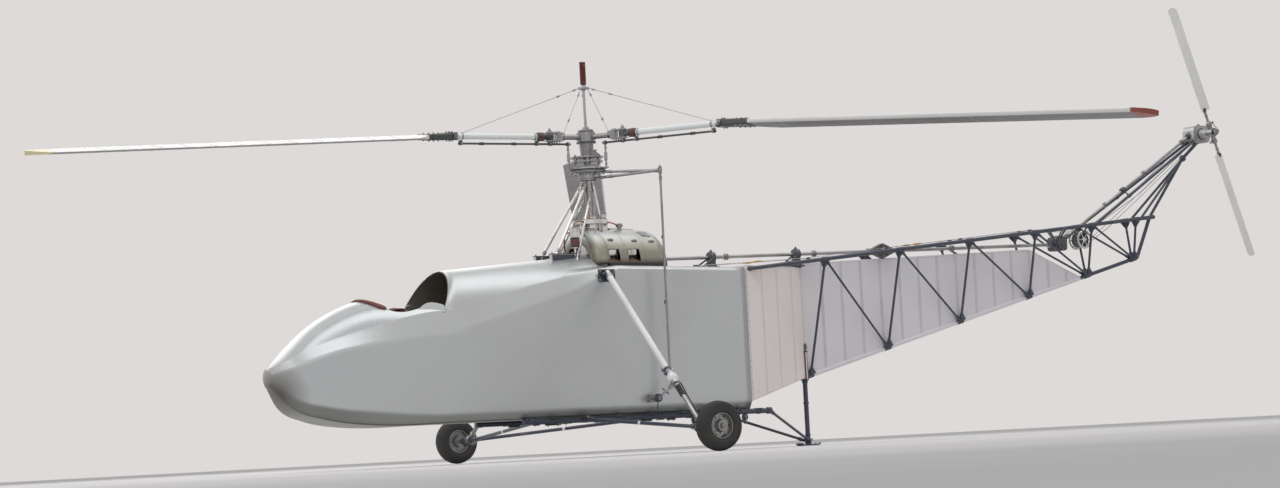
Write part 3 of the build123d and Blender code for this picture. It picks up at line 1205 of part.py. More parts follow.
with BuildPart() as rotor_stays:
    for name, azimuth, droop in BLADES:
        tube(polar(KING_CROSS_RADIUS - 8, azimuth, KING_CROSS_Z),
             polar(DROOP_HINGE_RADIUS, azimuth, ROTOR_PLANE_Z), STAY_RADIUS)
        tube(polar(KING_CROSS_RADIUS - 16, azimuth + 20, KING_CROSS_Z),
             polar(DRAG_HINGE_REACH - 110, azimuth, ROTOR_PLANE_Z), STAY_RADIUS - 1)
    add(king_post.part, mode=Mode.SUBTRACT)
    add(blade_cuffs.part, mode=Mode.SUBTRACT)
    add(rotor_hub.part, mode=Mode.SUBTRACT)
    add(rotor_arms.part, mode=Mode.SUBTRACT)
rotor_stays.part.label = "rotor_stays"
export_step(rotor_stays.part, "parts/rotor_stays.step")

# Tail rotor on the port side of its gearbox
tail_centre = (x_at(TAIL_ROTOR_STATION), TAIL_ROTOR_Y, TAIL_ROTOR_Z)
tilt = math.radians(TAIL_ROTOR_TILT)
blade_up = Vector(-math.sin(tilt), 0, math.cos(tilt))
with BuildPart() as tail_hub:
    for inner, outer, radius in ((85, 45, TAIL_SHAFT_RADIUS), (34, 34, TAIL_HUB_RADIUS)):
        tube((tail_centre[0], TAIL_ROTOR_Y + inner, TAIL_ROTOR_Z),
             (tail_centre[0], TAIL_ROTOR_Y - outer, TAIL_ROTOR_Z), radius)
    for sign in (1, -1):
        tube(tail_centre, tuple(Vector(*tail_centre) + blade_up * sign * (TAIL_ROOT_RADIUS + 10)),
             TAIL_SHANK_RADIUS)
        tube(tail_centre, tuple(Vector(*tail_centre) + blade_up * sign * TAIL_GRIP_REACH), TAIL_GRIP_RADIUS)
tail_hub.part.label = "tail_hub"
export_step(tail_hub.part, "parts/tail_hub.step")

with BuildPart() as tail_blades:
    for sign in (1, -1):
        span = blade_up * sign
        chord_line = span.cross(Vector(0, 1, 0))
        pitch = math.radians(TAIL_BLADE_PITCH)
        pitched = chord_line * math.cos(pitch) + Vector(0, 1, 0) * math.sin(pitch)
        root = Plane(origin=tail_centre, x_dir=pitched, z_dir=span).offset(TAIL_ROOT_RADIUS)
        extrude(airfoil(root, TAIL_CHORD, TAIL_THICKNESS), amount=TAIL_ROTOR_RADIUS - TAIL_ROOT_RADIUS)
    with BuildSketch(Plane.XZ.offset(-TAIL_ROTOR_Y - 60)):
        with Locations(Location((tail_centre[0], tail_centre[2]), TAIL_ROTOR_TILT)):
            SlotOverall(2 * TAIL_ROTOR_RADIUS, 1.0 * TAIL_CHORD, rotation=90)
    extrude(amount=120, mode=Mode.INTERSECT)
    add(tail_hub.part, mode=Mode.SUBTRACT)
tail_blades.part.label = "tail_blades"
export_step(tail_blades.part, "parts/tail_blades.step")
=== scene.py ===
"""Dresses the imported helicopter: finishes for every node, and the pieces that only the looks need."""

import json
import math

import bmesh
import bpy
from mathutils import Matrix, Vector


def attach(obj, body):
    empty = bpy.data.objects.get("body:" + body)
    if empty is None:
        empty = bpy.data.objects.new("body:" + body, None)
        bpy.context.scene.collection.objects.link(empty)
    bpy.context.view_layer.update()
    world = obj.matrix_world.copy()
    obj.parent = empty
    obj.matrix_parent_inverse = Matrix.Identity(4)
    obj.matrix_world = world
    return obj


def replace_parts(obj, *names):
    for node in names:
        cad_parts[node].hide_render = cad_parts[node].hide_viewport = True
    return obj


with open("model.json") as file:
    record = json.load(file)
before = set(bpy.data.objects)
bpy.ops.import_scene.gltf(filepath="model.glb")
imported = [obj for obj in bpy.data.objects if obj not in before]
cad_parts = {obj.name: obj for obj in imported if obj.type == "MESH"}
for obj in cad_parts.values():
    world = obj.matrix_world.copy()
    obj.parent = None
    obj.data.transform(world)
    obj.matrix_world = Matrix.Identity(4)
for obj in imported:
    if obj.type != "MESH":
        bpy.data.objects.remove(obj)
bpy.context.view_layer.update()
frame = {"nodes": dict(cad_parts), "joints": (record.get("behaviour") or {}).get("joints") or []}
NODES = frame["nodes"]

# Places taken from the frame, in metres
JOINT_AT = {joint["name"]: Vector(joint["pos_m"]) for joint in frame["joints"]}
MAST_X = JOINT_AT["main_rotor_spin"].x
ROTOR_Z = JOINT_AT["main_rotor_spin"].z
TAIL_AT = JOINT_AT["tail_rotor_spin"]
SIDES = (("port", -1), ("starboard", 1))

# Camera: 24 m away, ahead of the beam on the port side, at floor level and looking slightly up
CAMERA_AT = Vector((-13.862, -20.331, 0.06))
CAMERA_HEADING = math.radians(33)
CAMERA_PITCH = math.radians(3.70)
CAMERA_ROLL = math.radians(3.0)
CAMERA_LENS = 88.09


def make_camera():
    """The photograph's viewpoint."""
    data = bpy.data.cameras.new("photo_camera")
    camera = bpy.data.objects.new("photo_camera", data)
    bpy.context.scene.collection.objects.link(camera)
    data.lens = CAMERA_LENS
    data.sensor_width = 36
    data.clip_end = 500
    level_right = Vector((math.cos(CAMERA_HEADING), -math.sin(CAMERA_HEADING), 0))
    forward = Vector((
        math.sin(CAMERA_HEADING) * math.cos(CAMERA_PITCH),
        math.cos(CAMERA_HEADING) * math.cos(CAMERA_PITCH),
        math.sin(CAMERA_PITCH),
    ))
    level_up = level_right.cross(forward)
    right = level_right * math.cos(CAMERA_ROLL) - level_up * math.sin(CAMERA_ROLL)
    up = level_right * math.sin(CAMERA_ROLL) + level_up * math.cos(CAMERA_ROLL)
    camera.matrix_world = Matrix((
        (right.x, up.x, -forward.x, CAMERA_AT.x),
        (right.y, up.y, -forward.y, CAMERA_AT.y),
        (right.z, up.z, -forward.z, CAMERA_AT.z),
        (0, 0, 0, 1),
    ))
    bpy.context.scene.camera = camera


make_camera()


# Node helpers
def add_node(tree, kind, settings=None, **inputs):
    """One node, with its settings and the values or links of its inputs."""
    made = tree.nodes.new(kind)
    for key, value in (settings or {}).items():
        setattr(made, key, value)
    for key, value in inputs.items():
        wanted = key.replace("_", " ")
        socket = next(s for s in made.inputs if s.name == wanted and s.enabled)
        if isinstance(value, bpy.types.NodeSocket):
            tree.links.new(value, socket)
        else:
            socket.default_value = value
    return made


def mix_colour(tree, share, first, second, mode="MIX"):
    """A colour between two others."""
    made = tree.nodes.new("ShaderNodeMix")
    made.data_type = "RGBA"
    made.blend_type = mode
    for index, value in ((0, share), (6, first), (7, second)):
        if isinstance(value, bpy.types.NodeSocket):
            tree.links.new(value, made.inputs[index])
        else:
            made.inputs[index].default_value = value
    return made.outputs[2]


def ramp(tree, value, low, high, out_low=0.0, out_high=1.0):
    """A value spread between two limits."""
    made = tree.nodes.new("ShaderNodeMapRange")
    tree.links.new(value, made.inputs["Value"])
    for name, number in (("From Min", low), ("From Max", high), ("To Min", out_low), ("To Max", out_high)):
        made.inputs[name].default_value = number
    return made.outputs["Result"]


def math_node(tree, operation, first, second=0.5):
    """One sum of two values."""
    made = tree.nodes.new("ShaderNodeMath")
    made.operation = operation
    for index, value in enumerate((first, second)):
        if isinstance(value, bpy.types.NodeSocket):
            tree.links.new(value, made.inputs[index])
        else:
            made.inputs[index].default_value = value
    return made.outputs[0]


def new_group(name, inputs, outputs):
    """An empty effect with named inputs and outputs: (tree, its inputs, its outputs)."""
    tree = bpy.data.node_groups.new(name, "ShaderNodeTree")
    for label, kind, value in inputs:
        socket = tree.interface.new_socket(label, in_out="INPUT", socket_type=kind)
        socket.default_value = value
    for label, kind in outputs:
        tree.interface.new_socket(label, in_out="OUTPUT", socket_type=kind)
    return tree, tree.nodes.new("NodeGroupInput").outputs, tree.nodes.new("NodeGroupOutput").inputs


FLOAT = "NodeSocketFloat"
COLOUR = "NodeSocketColor"


def weathering_group():
    """Slow patches and fine specks of stain, with a roughness that wanders with the patches."""
    tree, given, out = new_group(
        "weathering",
        [
            ("Colour", COLOUR, (0.5, 0.5, 0.5, 1)),
            ("Stain", COLOUR, (0.2, 0.18, 0.15, 1)),
            ("Stain Amount", FLOAT, 0.3),
            ("Patch Size", FLOAT, 1.5),
            ("Roughness", FLOAT, 0.5),
            ("Roughness Spread", FLOAT, 0.15),
        ],
        [("Colour", COLOUR), ("Roughness", FLOAT), ("Mask", FLOAT)],
    )
    place = add_node(tree, "ShaderNodeTexCoord").outputs["Object"]
    patches = add_node(tree, "ShaderNodeTexNoise", Vector=place, Scale=given["Patch Size"], Detail=6.0)
    specks = add_node(tree, "ShaderNodeTexNoise", Vector=place, Scale=70.0, Detail=3.0)
    broad = ramp(tree, patches.outputs["Fac"], 0.42, 0.72)
    fine = ramp(tree, specks.outputs["Fac"], 0.45, 0.75)
    joined = math_node(tree, "MULTIPLY", broad, math_node(tree, "ADD", math_node(tree, "MULTIPLY", fine, 0.5)))
    mask = math_node(tree, "MULTIPLY", joined, given["Stain Amount"])
    tree.links.new(mix_colour(tree, mask, given["Colour"], given["Stain"]), out["Colour"])
    swing = math_node(tree, "MULTIPLY", ramp(tree, patches.outputs["Fac"], 0.3, 0.7, -1, 1),
                      given["Roughness Spread"])
    tree.links.new(math_node(tree, "ADD", given["Roughness"], swing), out["Roughness"])
    tree.links.new(mask, out["Mask"])
    return tree


def weave_group():
    """Threads of a plain weave, as a height."""
    tree, given, out = new_group("weave", [("Thread", FLOAT, 900.0)], [("Height", FLOAT)])
    place = add_node(tree, "ShaderNodeTexCoord").outputs["Object"]
    parts = add_node(tree, "ShaderNodeSeparateXYZ", Vector=place)
    across = math_node(tree, "ADD", parts.outputs["Y"], parts.outputs["Z"])
    waves = [
        math_node(tree, "SINE", math_node(tree, "MULTIPLY", value, given["Thread"]))
        for value in (parts.outputs["X"], across)
    ]
    tree.links.new(math_node(tree, "MULTIPLY", waves[0], waves[1]), out["Height"])
    return tree


def grain_group():
    """Pores and folds of leather or the pebble of cast metal, as a height and a mask."""
    tree, given, out = new_group(
        "grain", [("Size", FLOAT, 120.0), ("Crease", FLOAT, 0.4)], [("Height", FLOAT), ("Mask", FLOAT)]
    )
    place = add_node(tree, "ShaderNodeTexCoord").outputs["Object"]
    cells = add_node(tree, "ShaderNodeTexVoronoi", Vector=place, Scale=given["Size"])
    folds = add_node(tree, "ShaderNodeTexNoise", Vector=place, Scale=14.0, Detail=5.0, Distortion=1.2)
    low = math_node(tree, "MULTIPLY", folds.outputs["Fac"], given["Crease"])
    tree.links.new(math_node(tree, "ADD", cells.outputs["Distance"], low), out["Height"])
    tree.links.new(ramp(tree, folds.outputs["Fac"], 0.4, 0.65), out["Mask"])
    return tree


def scratch_group():
    """Bare metal where paint has worn through in streaks."""
    tree, given, out = new_group("scratches", [("Amount", FLOAT, 0.4), ("Length", FLOAT, 9.0)], [("Mask", FLOAT)])
    place = add_node(tree, "ShaderNodeTexCoord").outputs["Object"]
    streaks = add_node(tree, "ShaderNodeTexNoise", Vector=place, Scale=given["Length"], Detail=9.0,
                       Roughness=0.75, Distortion=0.6)
    sharp = ramp(tree, streaks.outputs["Fac"], 0.60, 0.66)
    tree.links.new(math_node(tree, "MULTIPLY", sharp, given["Amount"]), out["Mask"])
    return tree


WEATHERING = weathering_group()
WEAVE = weave_group()
GRAIN = grain_group()
SCRATCHES = scratch_group()


def use_group(tree, group, **inputs):
    """One of the shared effects, placed in a material."""
    made = tree.nodes.new("ShaderNodeGroup")
    made.node_tree = group
    for key, value in inputs.items():
        socket = made.inputs[key.replace("_", " ")]
        if isinstance(value, bpy.types.NodeSocket):
            tree.links.new(value, socket)
        else:
            socket.default_value = value
    return made.outputs


def rgb(red, green, blue):
    return (red, green, blue, 1.0)


def measured(tree, measure):
    """A place's x, z, horizontal distance from the mast or distance from a point in metres, or its downward face."""
    if measure == "down":
        normal = add_node(tree, "ShaderNodeNewGeometry").outputs["Normal"]
        return add_node(tree, "ShaderNodeSeparateXYZ", Vector=normal).outputs["Z"]
    place = add_node(tree, "ShaderNodeTexCoord").outputs["Object"]
    if isinstance(measure, tuple):
        apart = add_node(tree, "ShaderNodeVectorMath", {"operation": "SUBTRACT"})
        tree.links.new(place, apart.inputs[0])
        apart.inputs[1].default_value = measure
        return add_node(tree, "ShaderNodeVectorMath", {"operation": "LENGTH"}, Vector=apart.outputs[0]).outputs["Value"]
    parts = add_node(tree, "ShaderNodeSeparateXYZ", Vector=place)
    if measure != "reach":
        return parts.outputs[measure.upper()]
    flat = add_node(tree, "ShaderNodeCombineXYZ", X=math_node(tree, "SUBTRACT", parts.outputs["X"], MAST_X),
                    Y=parts.outputs["Y"])
    return add_node(tree, "ShaderNodeVectorMath", {"operation": "LENGTH"}, Vector=flat.outputs[0]).outputs["Value"]


def finish(name, colour, stain=None, stain_amount=0.3, patch=1.5, roughness=0.5, spread=0.12, metal=0.0,
           weave=0.0, thread=900.0, grain=0.0, grain_size=120.0, scratched=0.0, bare=rgb(0.55, 0.55, 0.56),
           coat=0.0, sheen=0.0, zones=()):
    """A material from the shared effects. Each keyword but zones is a strength of what the real finish shows.

    A zone is (measure, low, high, colour): the colour grows in from low to high of x, z, the mast's reach, a distance
    from a point or a face's turn downward. Some zones are the thing's own paint, others painted shade.
    """
    material = bpy.data.materials.new(name)
    material.use_nodes = True
    tree = material.node_tree
    shader = tree.nodes["Principled BSDF"]
    worn = use_group(tree, WEATHERING, Colour=colour, Stain=stain or rgb(*[c * 0.45 for c in colour[:3]]),
                     Stain_Amount=stain_amount, Patch_Size=patch, Roughness=roughness, Roughness_Spread=spread)
    base = worn["Colour"]
    for measure, low, high, paint in zones:
        base = mix_colour(tree, ramp(tree, measured(tree, measure), low, high), base, paint)
    if scratched:
        bared = use_group(tree, SCRATCHES, Amount=scratched)["Mask"]
        base = mix_colour(tree, bared, base, bare)
        tree.links.new(ramp(tree, bared, 0, 1, metal, 1.0), shader.inputs["Metallic"])
    else:
        shader.inputs["Metallic"].default_value = metal
    tree.links.new(base, shader.inputs["Base Color"])
    tree.links.new(worn["Roughness"], shader.inputs["Roughness"])
    shader.inputs["Coat Weight"].default_value = coat
    shader.inputs["Sheen Weight"].default_value = sheen
    height = None
    if weave:
        height = use_group(tree, WEAVE, Thread=thread)["Height"]
    if grain:
        height = use_group(tree, GRAIN, Size=grain_size)["Height"]
    if height:
        bump = add_node(tree, "ShaderNodeBump", Height=height, Strength=weave or grain, Distance=0.001)
        tree.links.new(bump.outputs["Normal"], shader.inputs["Normal"])
    return material


# Silver skin: the down zone darkens downward faces, a painted shade; the dark spot round the nose's lower tip is
# painted shade and a painted dark reflection.
silver_skin_painted_shade = finish("silver_skin_painted_shade", rgb(0.56, 0.58, 0.59), rgb(0.42, 0.42, 0.41), 0.5, 1.3, 0.33, 0.06, 0.62,
                     weave=0.08, zones=(
                         ("down", -0.1, -0.8, rgb(0.19, 0.20, 0.175)),
                         ((MAST_X - 2.77, -0.06, 0.54), 0.27, 0.05, rgb(0.13, 0.115, 0.10))))
# Cabin lining: a dark sheet inside the skin, painted shade for the cabin seen through its opening.
painted_shade_lining = finish("painted_shade_lining", rgb(0.36, 0.31, 0.26), rgb(0.03, 0.03, 0.03), 0.5, 5.0, 0.7)
wedge_fabric = finish("wedge_fabric", rgb(0.90, 0.83, 0.80), rgb(0.70, 0.63, 0.59), 0.5, 1.3, 0.5, 0.1, 0.05,
                      weave=0.4)
fin_fabric = finish("fin_fabric", rgb(0.78, 0.75, 0.79), rgb(0.58, 0.54, 0.56), 0.5, 1.3, 0.5, 0.1, 0.1,
                    weave=0.4)
red_leather = finish("red_leather", rgb(0.20, 0.045, 0.03), rgb(0.06, 0.02, 0.015), 0.6, 8.0, 0.42, 0.12,
                     grain=0.5, grain_size=260.0, coat=0.15)
navy_tube = finish("navy_tube", rgb(0.035, 0.045, 0.075), rgb(0.10, 0.09, 0.085), 0.5, 3.0, 0.38, 0.1, 0.0,
                   scratched=0.25, coat=0.3)
cabin_green = finish("cabin_green", rgb(0.20, 0.23, 0.18), None, 0.6, 4.0, 0.6, scratched=0.35)
crackle_black = finish("crackle_black", rgb(0.02, 0.02, 0.022), rgb(0.08, 0.08, 0.08), 0.3, 9.0, 0.6,
                       grain=0.6, grain_size=420.0)
oiled_steel = finish("oiled_steel", rgb(0.36, 0.36, 0.37), rgb(0.10, 0.08, 0.06), 0.6, 6.0, 0.34, 0.12, 0.95)
cast_alloy = finish("cast_alloy", rgb(0.46, 0.46, 0.45), rgb(0.16, 0.14, 0.12), 0.7, 5.0, 0.5, 0.12, 0.8,
                    grain=0.35, grain_size=300.0)
# Cowl: its colour darkens below the top crest, painted shade under the top's highlight, and turns near black along its
# lower edge, a painted shadow line.
cowl_metal_painted_shade = finish("cowl_metal_painted_shade", rgb(0.66, 0.69, 0.69), rgb(0.40, 0.39, 0.34), 0.5, 3.0, 0.36, 0.08, 0.55, zones=(
    ("z", 1.725, 1.60, rgb(0.30, 0.29, 0.235)), ("z", 1.50, 1.455, rgb(0.05, 0.045, 0.04))))
engine_black = finish("engine_black", rgb(0.035, 0.035, 0.035), rgb(0.14, 0.11, 0.09), 0.6, 6.0, 0.55,
                      scratched=0.4, grain=0.3, grain_size=300.0)
strut_white = finish("strut_white", rgb(0.80, 0.80, 0.79), rgb(0.50, 0.48, 0.45), 0.35, 4.0, 0.3, coat=0.4)
# Blades: the down zone darkens their undersides, a painted shade; the red and yellow tips are their own paint.
blade_dope_painted_shade = finish("blade_dope_painted_shade", rgb(0.74, 0.74, 0.73), rgb(0.48, 0.46, 0.44), 0.4, 1.4, 0.42, weave=0.1, zones=(
    ("down", -0.90, -0.95, rgb(0.17, 0.165, 0.17)), ("reach", 4.40, 4.41, rgb(0.30, 0.07, 0.05)),
    ("x", MAST_X - 4.40, MAST_X - 4.41, rgb(0.72, 0.66, 0.40))))
arm_black = finish("arm_black", rgb(0.05, 0.055, 0.055), rgb(0.16, 0.15, 0.14), 0.5, 5.0, 0.4, scratched=0.3)
# Rotor arms: dark near the hub and silver further out, their own paint; the z zone darkens their lower side, a painted
# shade.
arm_tube_painted_shade = finish("arm_tube_painted_shade", rgb(0.11, 0.12, 0.12), rgb(0.05, 0.05, 0.05), 0.4, 5.0, 0.36, zones=(
    ("reach", 0.44, 0.45, rgb(0.80, 0.82, 0.82)), ("z", ROTOR_Z - 0.030, ROTOR_Z - 0.036, rgb(0.07, 0.075, 0.08))))
king_steel = finish("king_steel", rgb(0.45, 0.46, 0.48), rgb(0.16, 0.14, 0.13), 0.5, 7.0, 0.36, metal=0.8,
                    zones=(("z", 2.866, 2.870, rgb(0.11, 0.035, 0.035)),))
stay_wire = finish("stay_wire", rgb(0.62, 0.61, 0.61), rgb(0.42, 0.40, 0.39), 0.5, 5.0, 0.5)
shock_cord = finish("shock_cord", rgb(0.30, 0.09, 0.06), rgb(0.08, 0.05, 0.04), 0.6, 12.0, 0.65, grain=0.6,
                    grain_size=500.0)
rim_alloy = finish("rim_alloy", rgb(0.42, 0.42, 0.41), rgb(0.14, 0.13, 0.11), 0.6, 7.0, 0.4, 0.1, 0.85)
tyre_rubber = finish("tyre_rubber", rgb(0.030, 0.030, 0.030), rgb(0.12, 0.11, 0.10), 0.5, 7.0, 0.68,
                     grain=0.4, grain_size=600.0)
boot_red = finish("boot_red", rgb(0.15, 0.045, 0.035), rgb(0.07, 0.03, 0.03), 0.6, 14.0, 0.6, grain=0.3,
                  grain_size=400.0)
brass = finish("brass", rgb(0.55, 0.38, 0.14), rgb(0.16, 0.10, 0.05), 0.5, 20.0, 0.35, metal=0.95)
cap_red = finish("cap_red", rgb(0.20, 0.05, 0.045), rgb(0.05, 0.03, 0.03), 0.5, 14.0, 0.45, coat=0.2)
# Rib tapes: the down zone darkens their undersides, a painted shade.
blade_tape_painted_shade = finish("blade_tape_painted_shade", rgb(0.76, 0.76, 0.75), rgb(0.52, 0.49, 0.46), 0.4, 3.0, 0.5, weave=0.25,
                    zones=(("down", -0.90, -0.95, rgb(0.20, 0.195, 0.20)),))
# Edge strips: the down zone darkens their undersides, a painted shade.
edge_metal_painted_shade = finish("edge_metal_painted_shade", rgb(0.72, 0.72, 0.71), rgb(0.46, 0.44, 0.41), 0.6, 5.0, 0.34, metal=0.5,
                    zones=(("down", -0.90, -0.95, rgb(0.22, 0.22, 0.225)),))
polished_alloy = finish("polished_alloy", rgb(0.72, 0.72, 0.70), rgb(0.20, 0.17, 0.13), 0.6, 9.0, 0.24, metal=0.95)
burnt_pipe = finish("burnt_pipe", rgb(0.20, 0.11, 0.07), rgb(0.07, 0.05, 0.05), 0.7, 12.0, 0.6, metal=0.5,
                    grain=0.3, grain_size=500.0)
hose_black = finish("hose_black", rgb(0.025, 0.025, 0.028), rgb(0.10, 0.09, 0.08), 0.5, 20.0, 0.5)
pump_red = finish("pump_red", rgb(0.14, 0.035, 0.03), rgb(0.09, 0.03, 0.03), 0.5, 16.0, 0.35, coat=0.4)
copper_pipe = finish("copper_pipe", rgb(0.42, 0.24, 0.15), rgb(0.12, 0.08, 0.06), 0.6, 14.0, 0.36, metal=0.9)
dark_alloy = finish("dark_alloy", rgb(0.10, 0.105, 0.12), rgb(0.05, 0.04, 0.035), 0.6, 9.0, 0.42, metal=0.55,
                    grain=0.3, grain_size=400.0)
tape_fabric = finish("tape_fabric", rgb(0.66, 0.63, 0.65), rgb(0.46, 0.42, 0.42), 0.5, 5.0, 0.6, weave=0.3)
wedge_tape = finish("wedge_tape", rgb(0.76, 0.71, 0.69), rgb(0.54, 0.49, 0.46), 0.5, 5.0, 0.6, weave=0.3)
brown_leather = finish("brown_leather", rgb(0.19, 0.085, 0.045), rgb(0.06, 0.03, 0.02), 0.6, 7.0, 0.45, 0.12,
                       grain=0.5, grain_size=280.0, coat=0.1)
thread_tan = finish("thread_tan", rgb(0.50, 0.38, 0.24), rgb(0.25, 0.18, 0.11), 0.4, 20.0, 0.7)
webbing = finish("webbing", rgb(0.33, 0.31, 0.22), rgb(0.16, 0.14, 0.10), 0.5, 9.0, 0.8, weave=0.8, thread=1600.0,
                 sheen=0.2)
dial_ivory = finish("dial_ivory", rgb(0.70, 0.66, 0.52), rgb(0.45, 0.40, 0.30), 0.3, 30.0, 0.5)
ash_wood = finish("ash_wood", rgb(0.34, 0.22, 0.12), rgb(0.14, 0.085, 0.05), 0.8, 5.0, 0.5, grain=0.4,
                  grain_size=90.0, coat=0.25)


def make_clear_glass():
    """The dials' glass."""
    material = finish("clear_glass", rgb(0.95, 0.96, 0.96), rgb(0.80, 0.82, 0.80), 0.2, 6.0, 0.06, 0.03)
    shader = material.node_tree.nodes["Principled BSDF"]
    shader.inputs["Transmission Weight"].default_value = 1.0
    return material


clear_glass = make_clear_glass()

NODE_FINISHES = (
    (silver_skin_painted_shade, ("nose_shell", "deck_shell", "rear_shell", "deck_crown")),
    (wedge_fabric, ("tail_wedge",)),
    (fin_fabric, ("fin_panel",)),
    (red_leather, ("cockpit_coaming", "pilot_seat")),
    (navy_tube, ("boom_longerons", "boom_posts", "boom_diagonals", "boom_cross_tubes", "boom_end",
                 "tail_pylon", "drag_tubes", "skid_braces", "belly_tubes", "tail_skid")),
    (cabin_green, ("cockpit_floor", "bulkheads", "cockpit_controls")),
    (crackle_black, ("instrument_panel",)),
    (oiled_steel, ("tail_shafts", "rotor_hub", "mast", "tail_hub", "axle_knuckles", "shock_pistons",
                   "control_rod", "control_bracket")),
    (cast_alloy, ("tail_gearbox", "bellcrank")),
    (polished_alloy, ("main_gearbox", "pylon_legs")),
    (dark_alloy, ("bevel_box", "control_drum", "shaft_supports")),
    (cowl_metal_painted_shade, ("engine_cowl",)),
    (engine_black, ("engine_block", "engine_cylinders")),
    (strut_white, ("shock_struts", "tail_blades")),
    (blade_dope_painted_shade, ("main_blades",)),
    (arm_black, ("blade_cuffs",)),
    (arm_tube_painted_shade, ("rotor_arms",)),
    (king_steel, ("king_post",)),
    (stay_wire, ("rotor_stays",)),
    (shock_cord, ("skid_shock",)),
    (rim_alloy, ("rim_port", "rim_starboard")),
    (tyre_rubber, ("tyre_port", "tyre_starboard")),
)

for material, names in NODE_FINISHES:
    for name in names:
        NODES[name].data.materials.clear()
        NODES[name].data.materials.append(material)


# Meshes, gathered from points (station aft of the mast, y, z) in millimetres
class Form:
    """A mesh gathered from skins, rods, turned shapes, plates and fasteners."""

    def __init__(self):
        self.points = []
        self.faces = []

    def skin(self, loops, closed=True, capped=True):
        """A skin over loops that have the same number of points."""
        start, count = len(self.points), len(loops[0])
        for loop in loops:
            self.points.extend(Vector(point) for point in loop)
        for row in range(len(loops) - 1):
            for k in range(count if closed else count - 1):
                a, b = start + row * count + k, start + row * count + (k + 1) % count
                self.faces.append((a, b, b + count, a + count))
        if closed and capped:
            self.faces.append(tuple(range(start, start + count)))
            self.faces.append(tuple(range(start + (len(loops) - 1) * count, start + len(loops) * count)))

    def turned(self, start, axis, profile, sides=14, capped=True):
        """A turned shape whose profile has rows of distance along the axis and radius."""
        origin, along = Vector(start), Vector(axis).normalized()
        across, up = square_to(along)
        loops = []
        for distance, radius in profile:
            centre = origin + along * distance
            loops.append([
                centre + (across * math.cos(turn) + up * math.sin(turn)) * radius
                for turn in (math.tau * k / sides for k in range(sides))
            ])
        self.skin(loops, capped=capped)

    def sleeve(self, start, axis, profile, bore, sides=28):
        """A turned shape with a bore through it, for a shaft or an axle."""
        rows = [*profile, (profile[-1][0], bore), (profile[0][0], bore), profile[0]]
        self.turned(start, axis, rows, sides, capped=False)

    def rod(self, start, end, radius, tip=None, sides=10):
        """A straight rod, tapered if it has a tip's radius."""
        run = Vector(end) - Vector(start)
        self.turned(start, run, ((0, radius), (run.length, radius if tip is None else tip)), sides)

    def cable(self, points, radius, sides=6, closed=False):
        """A round cable or bent pipe along points."""
        points = [Vector(point) for point in points]
        count, loops, across = len(points), [], None
        for k, point in enumerate(points):
            before = points[k - 1] if k or closed else point
            after = points[(k + 1) % count] if k < count - 1 or closed else point
            along = (after - before).normalized()
            across = square_to(along)[0] if across is None else (across - along * across.dot(along)).normalized()
            up = along.cross(across)
            loops.append([
                point + (across * math.cos(turn) + up * math.sin(turn)) * radius
                for turn in (math.tau * s / sides for s in range(sides))
            ])
        if closed:
            loops.append(loops[0])
        self.skin(loops, capped=not closed)

    def box(self, centre, size, along=(1, 0, 0), up=(0, 0, 1)):
        """A box with its length along one direction and its height close to another."""
        x = Vector(along).normalized()
        y = Vector(up).cross(x).normalized()
        z = x.cross(y)
        a, b, c = (x * size[0] / 2, y * size[1] / 2, z * size[2] / 2)
        middle = Vector(centre)
        self.skin([[middle + a * i - b - c, middle + a * i + b - c, middle + a * i + b + c, middle + a * i - b + c]
                   for i in (-1, 1)])

    def plate(self, outline, depth):
        """A flat plate: its outline, and the vector of its thickness."""
        self.skin([outline, [Vector(point) + Vector(depth) for point in outline]])

    def ring(self, centre, axis, radius, gauge, sides=28, around=8):
        """A round ring with a round section."""
        across, up = square_to(Vector(axis).normalized())
        self.cable([Vector(centre) + (across * math.cos(t) + up * math.sin(t)) * radius
                    for t in (math.tau * k / sides for k in range(sides))], gauge, around, closed=True)

    def bolt(self, place, axis, radius=7, washer=True):
        """A hexagon head on its washer, with the end of its thread."""
        base = 0
        if washer:
            self.turned(place, axis, ((-1, radius * 1.5), (2, radius * 1.5)), 12)
            base = 2
        self.turned(place, axis, ((base - 1, radius), (base + radius * 0.9, radius)), 6)
        self.turned(place, axis, ((base, radius * 0.5), (base + radius * 1.5, radius * 0.5)), 8)

    def rivet(self, place, axis, radius=4):
        """A round rivet head."""
        self.turned(place, axis, ((-1, radius), (radius * 0.3, radius * 0.8), (radius * 0.55, radius * 0.3)), 8)

    def show(self, name, material, slot, body="airframe", angle=35, bevel=0.0):
        """The gathered mesh as a piece that rides on a body."""
        data = bpy.data.meshes.new(name)
        data.from_pydata([(MAST_X + p.x / 1000, p.y / 1000, p.z / 1000) for p in self.points], [], self.faces)
        return settle(name, data, material, body, angle, bevel)


def square_to(along):
    """Two directions square to one and to each other."""
    helper = Vector((0, 0, 1)) if abs(along.z) < 0.9 else Vector((0, 1, 0))
    across = helper.cross(along).normalized()
    return across, along.cross(across)


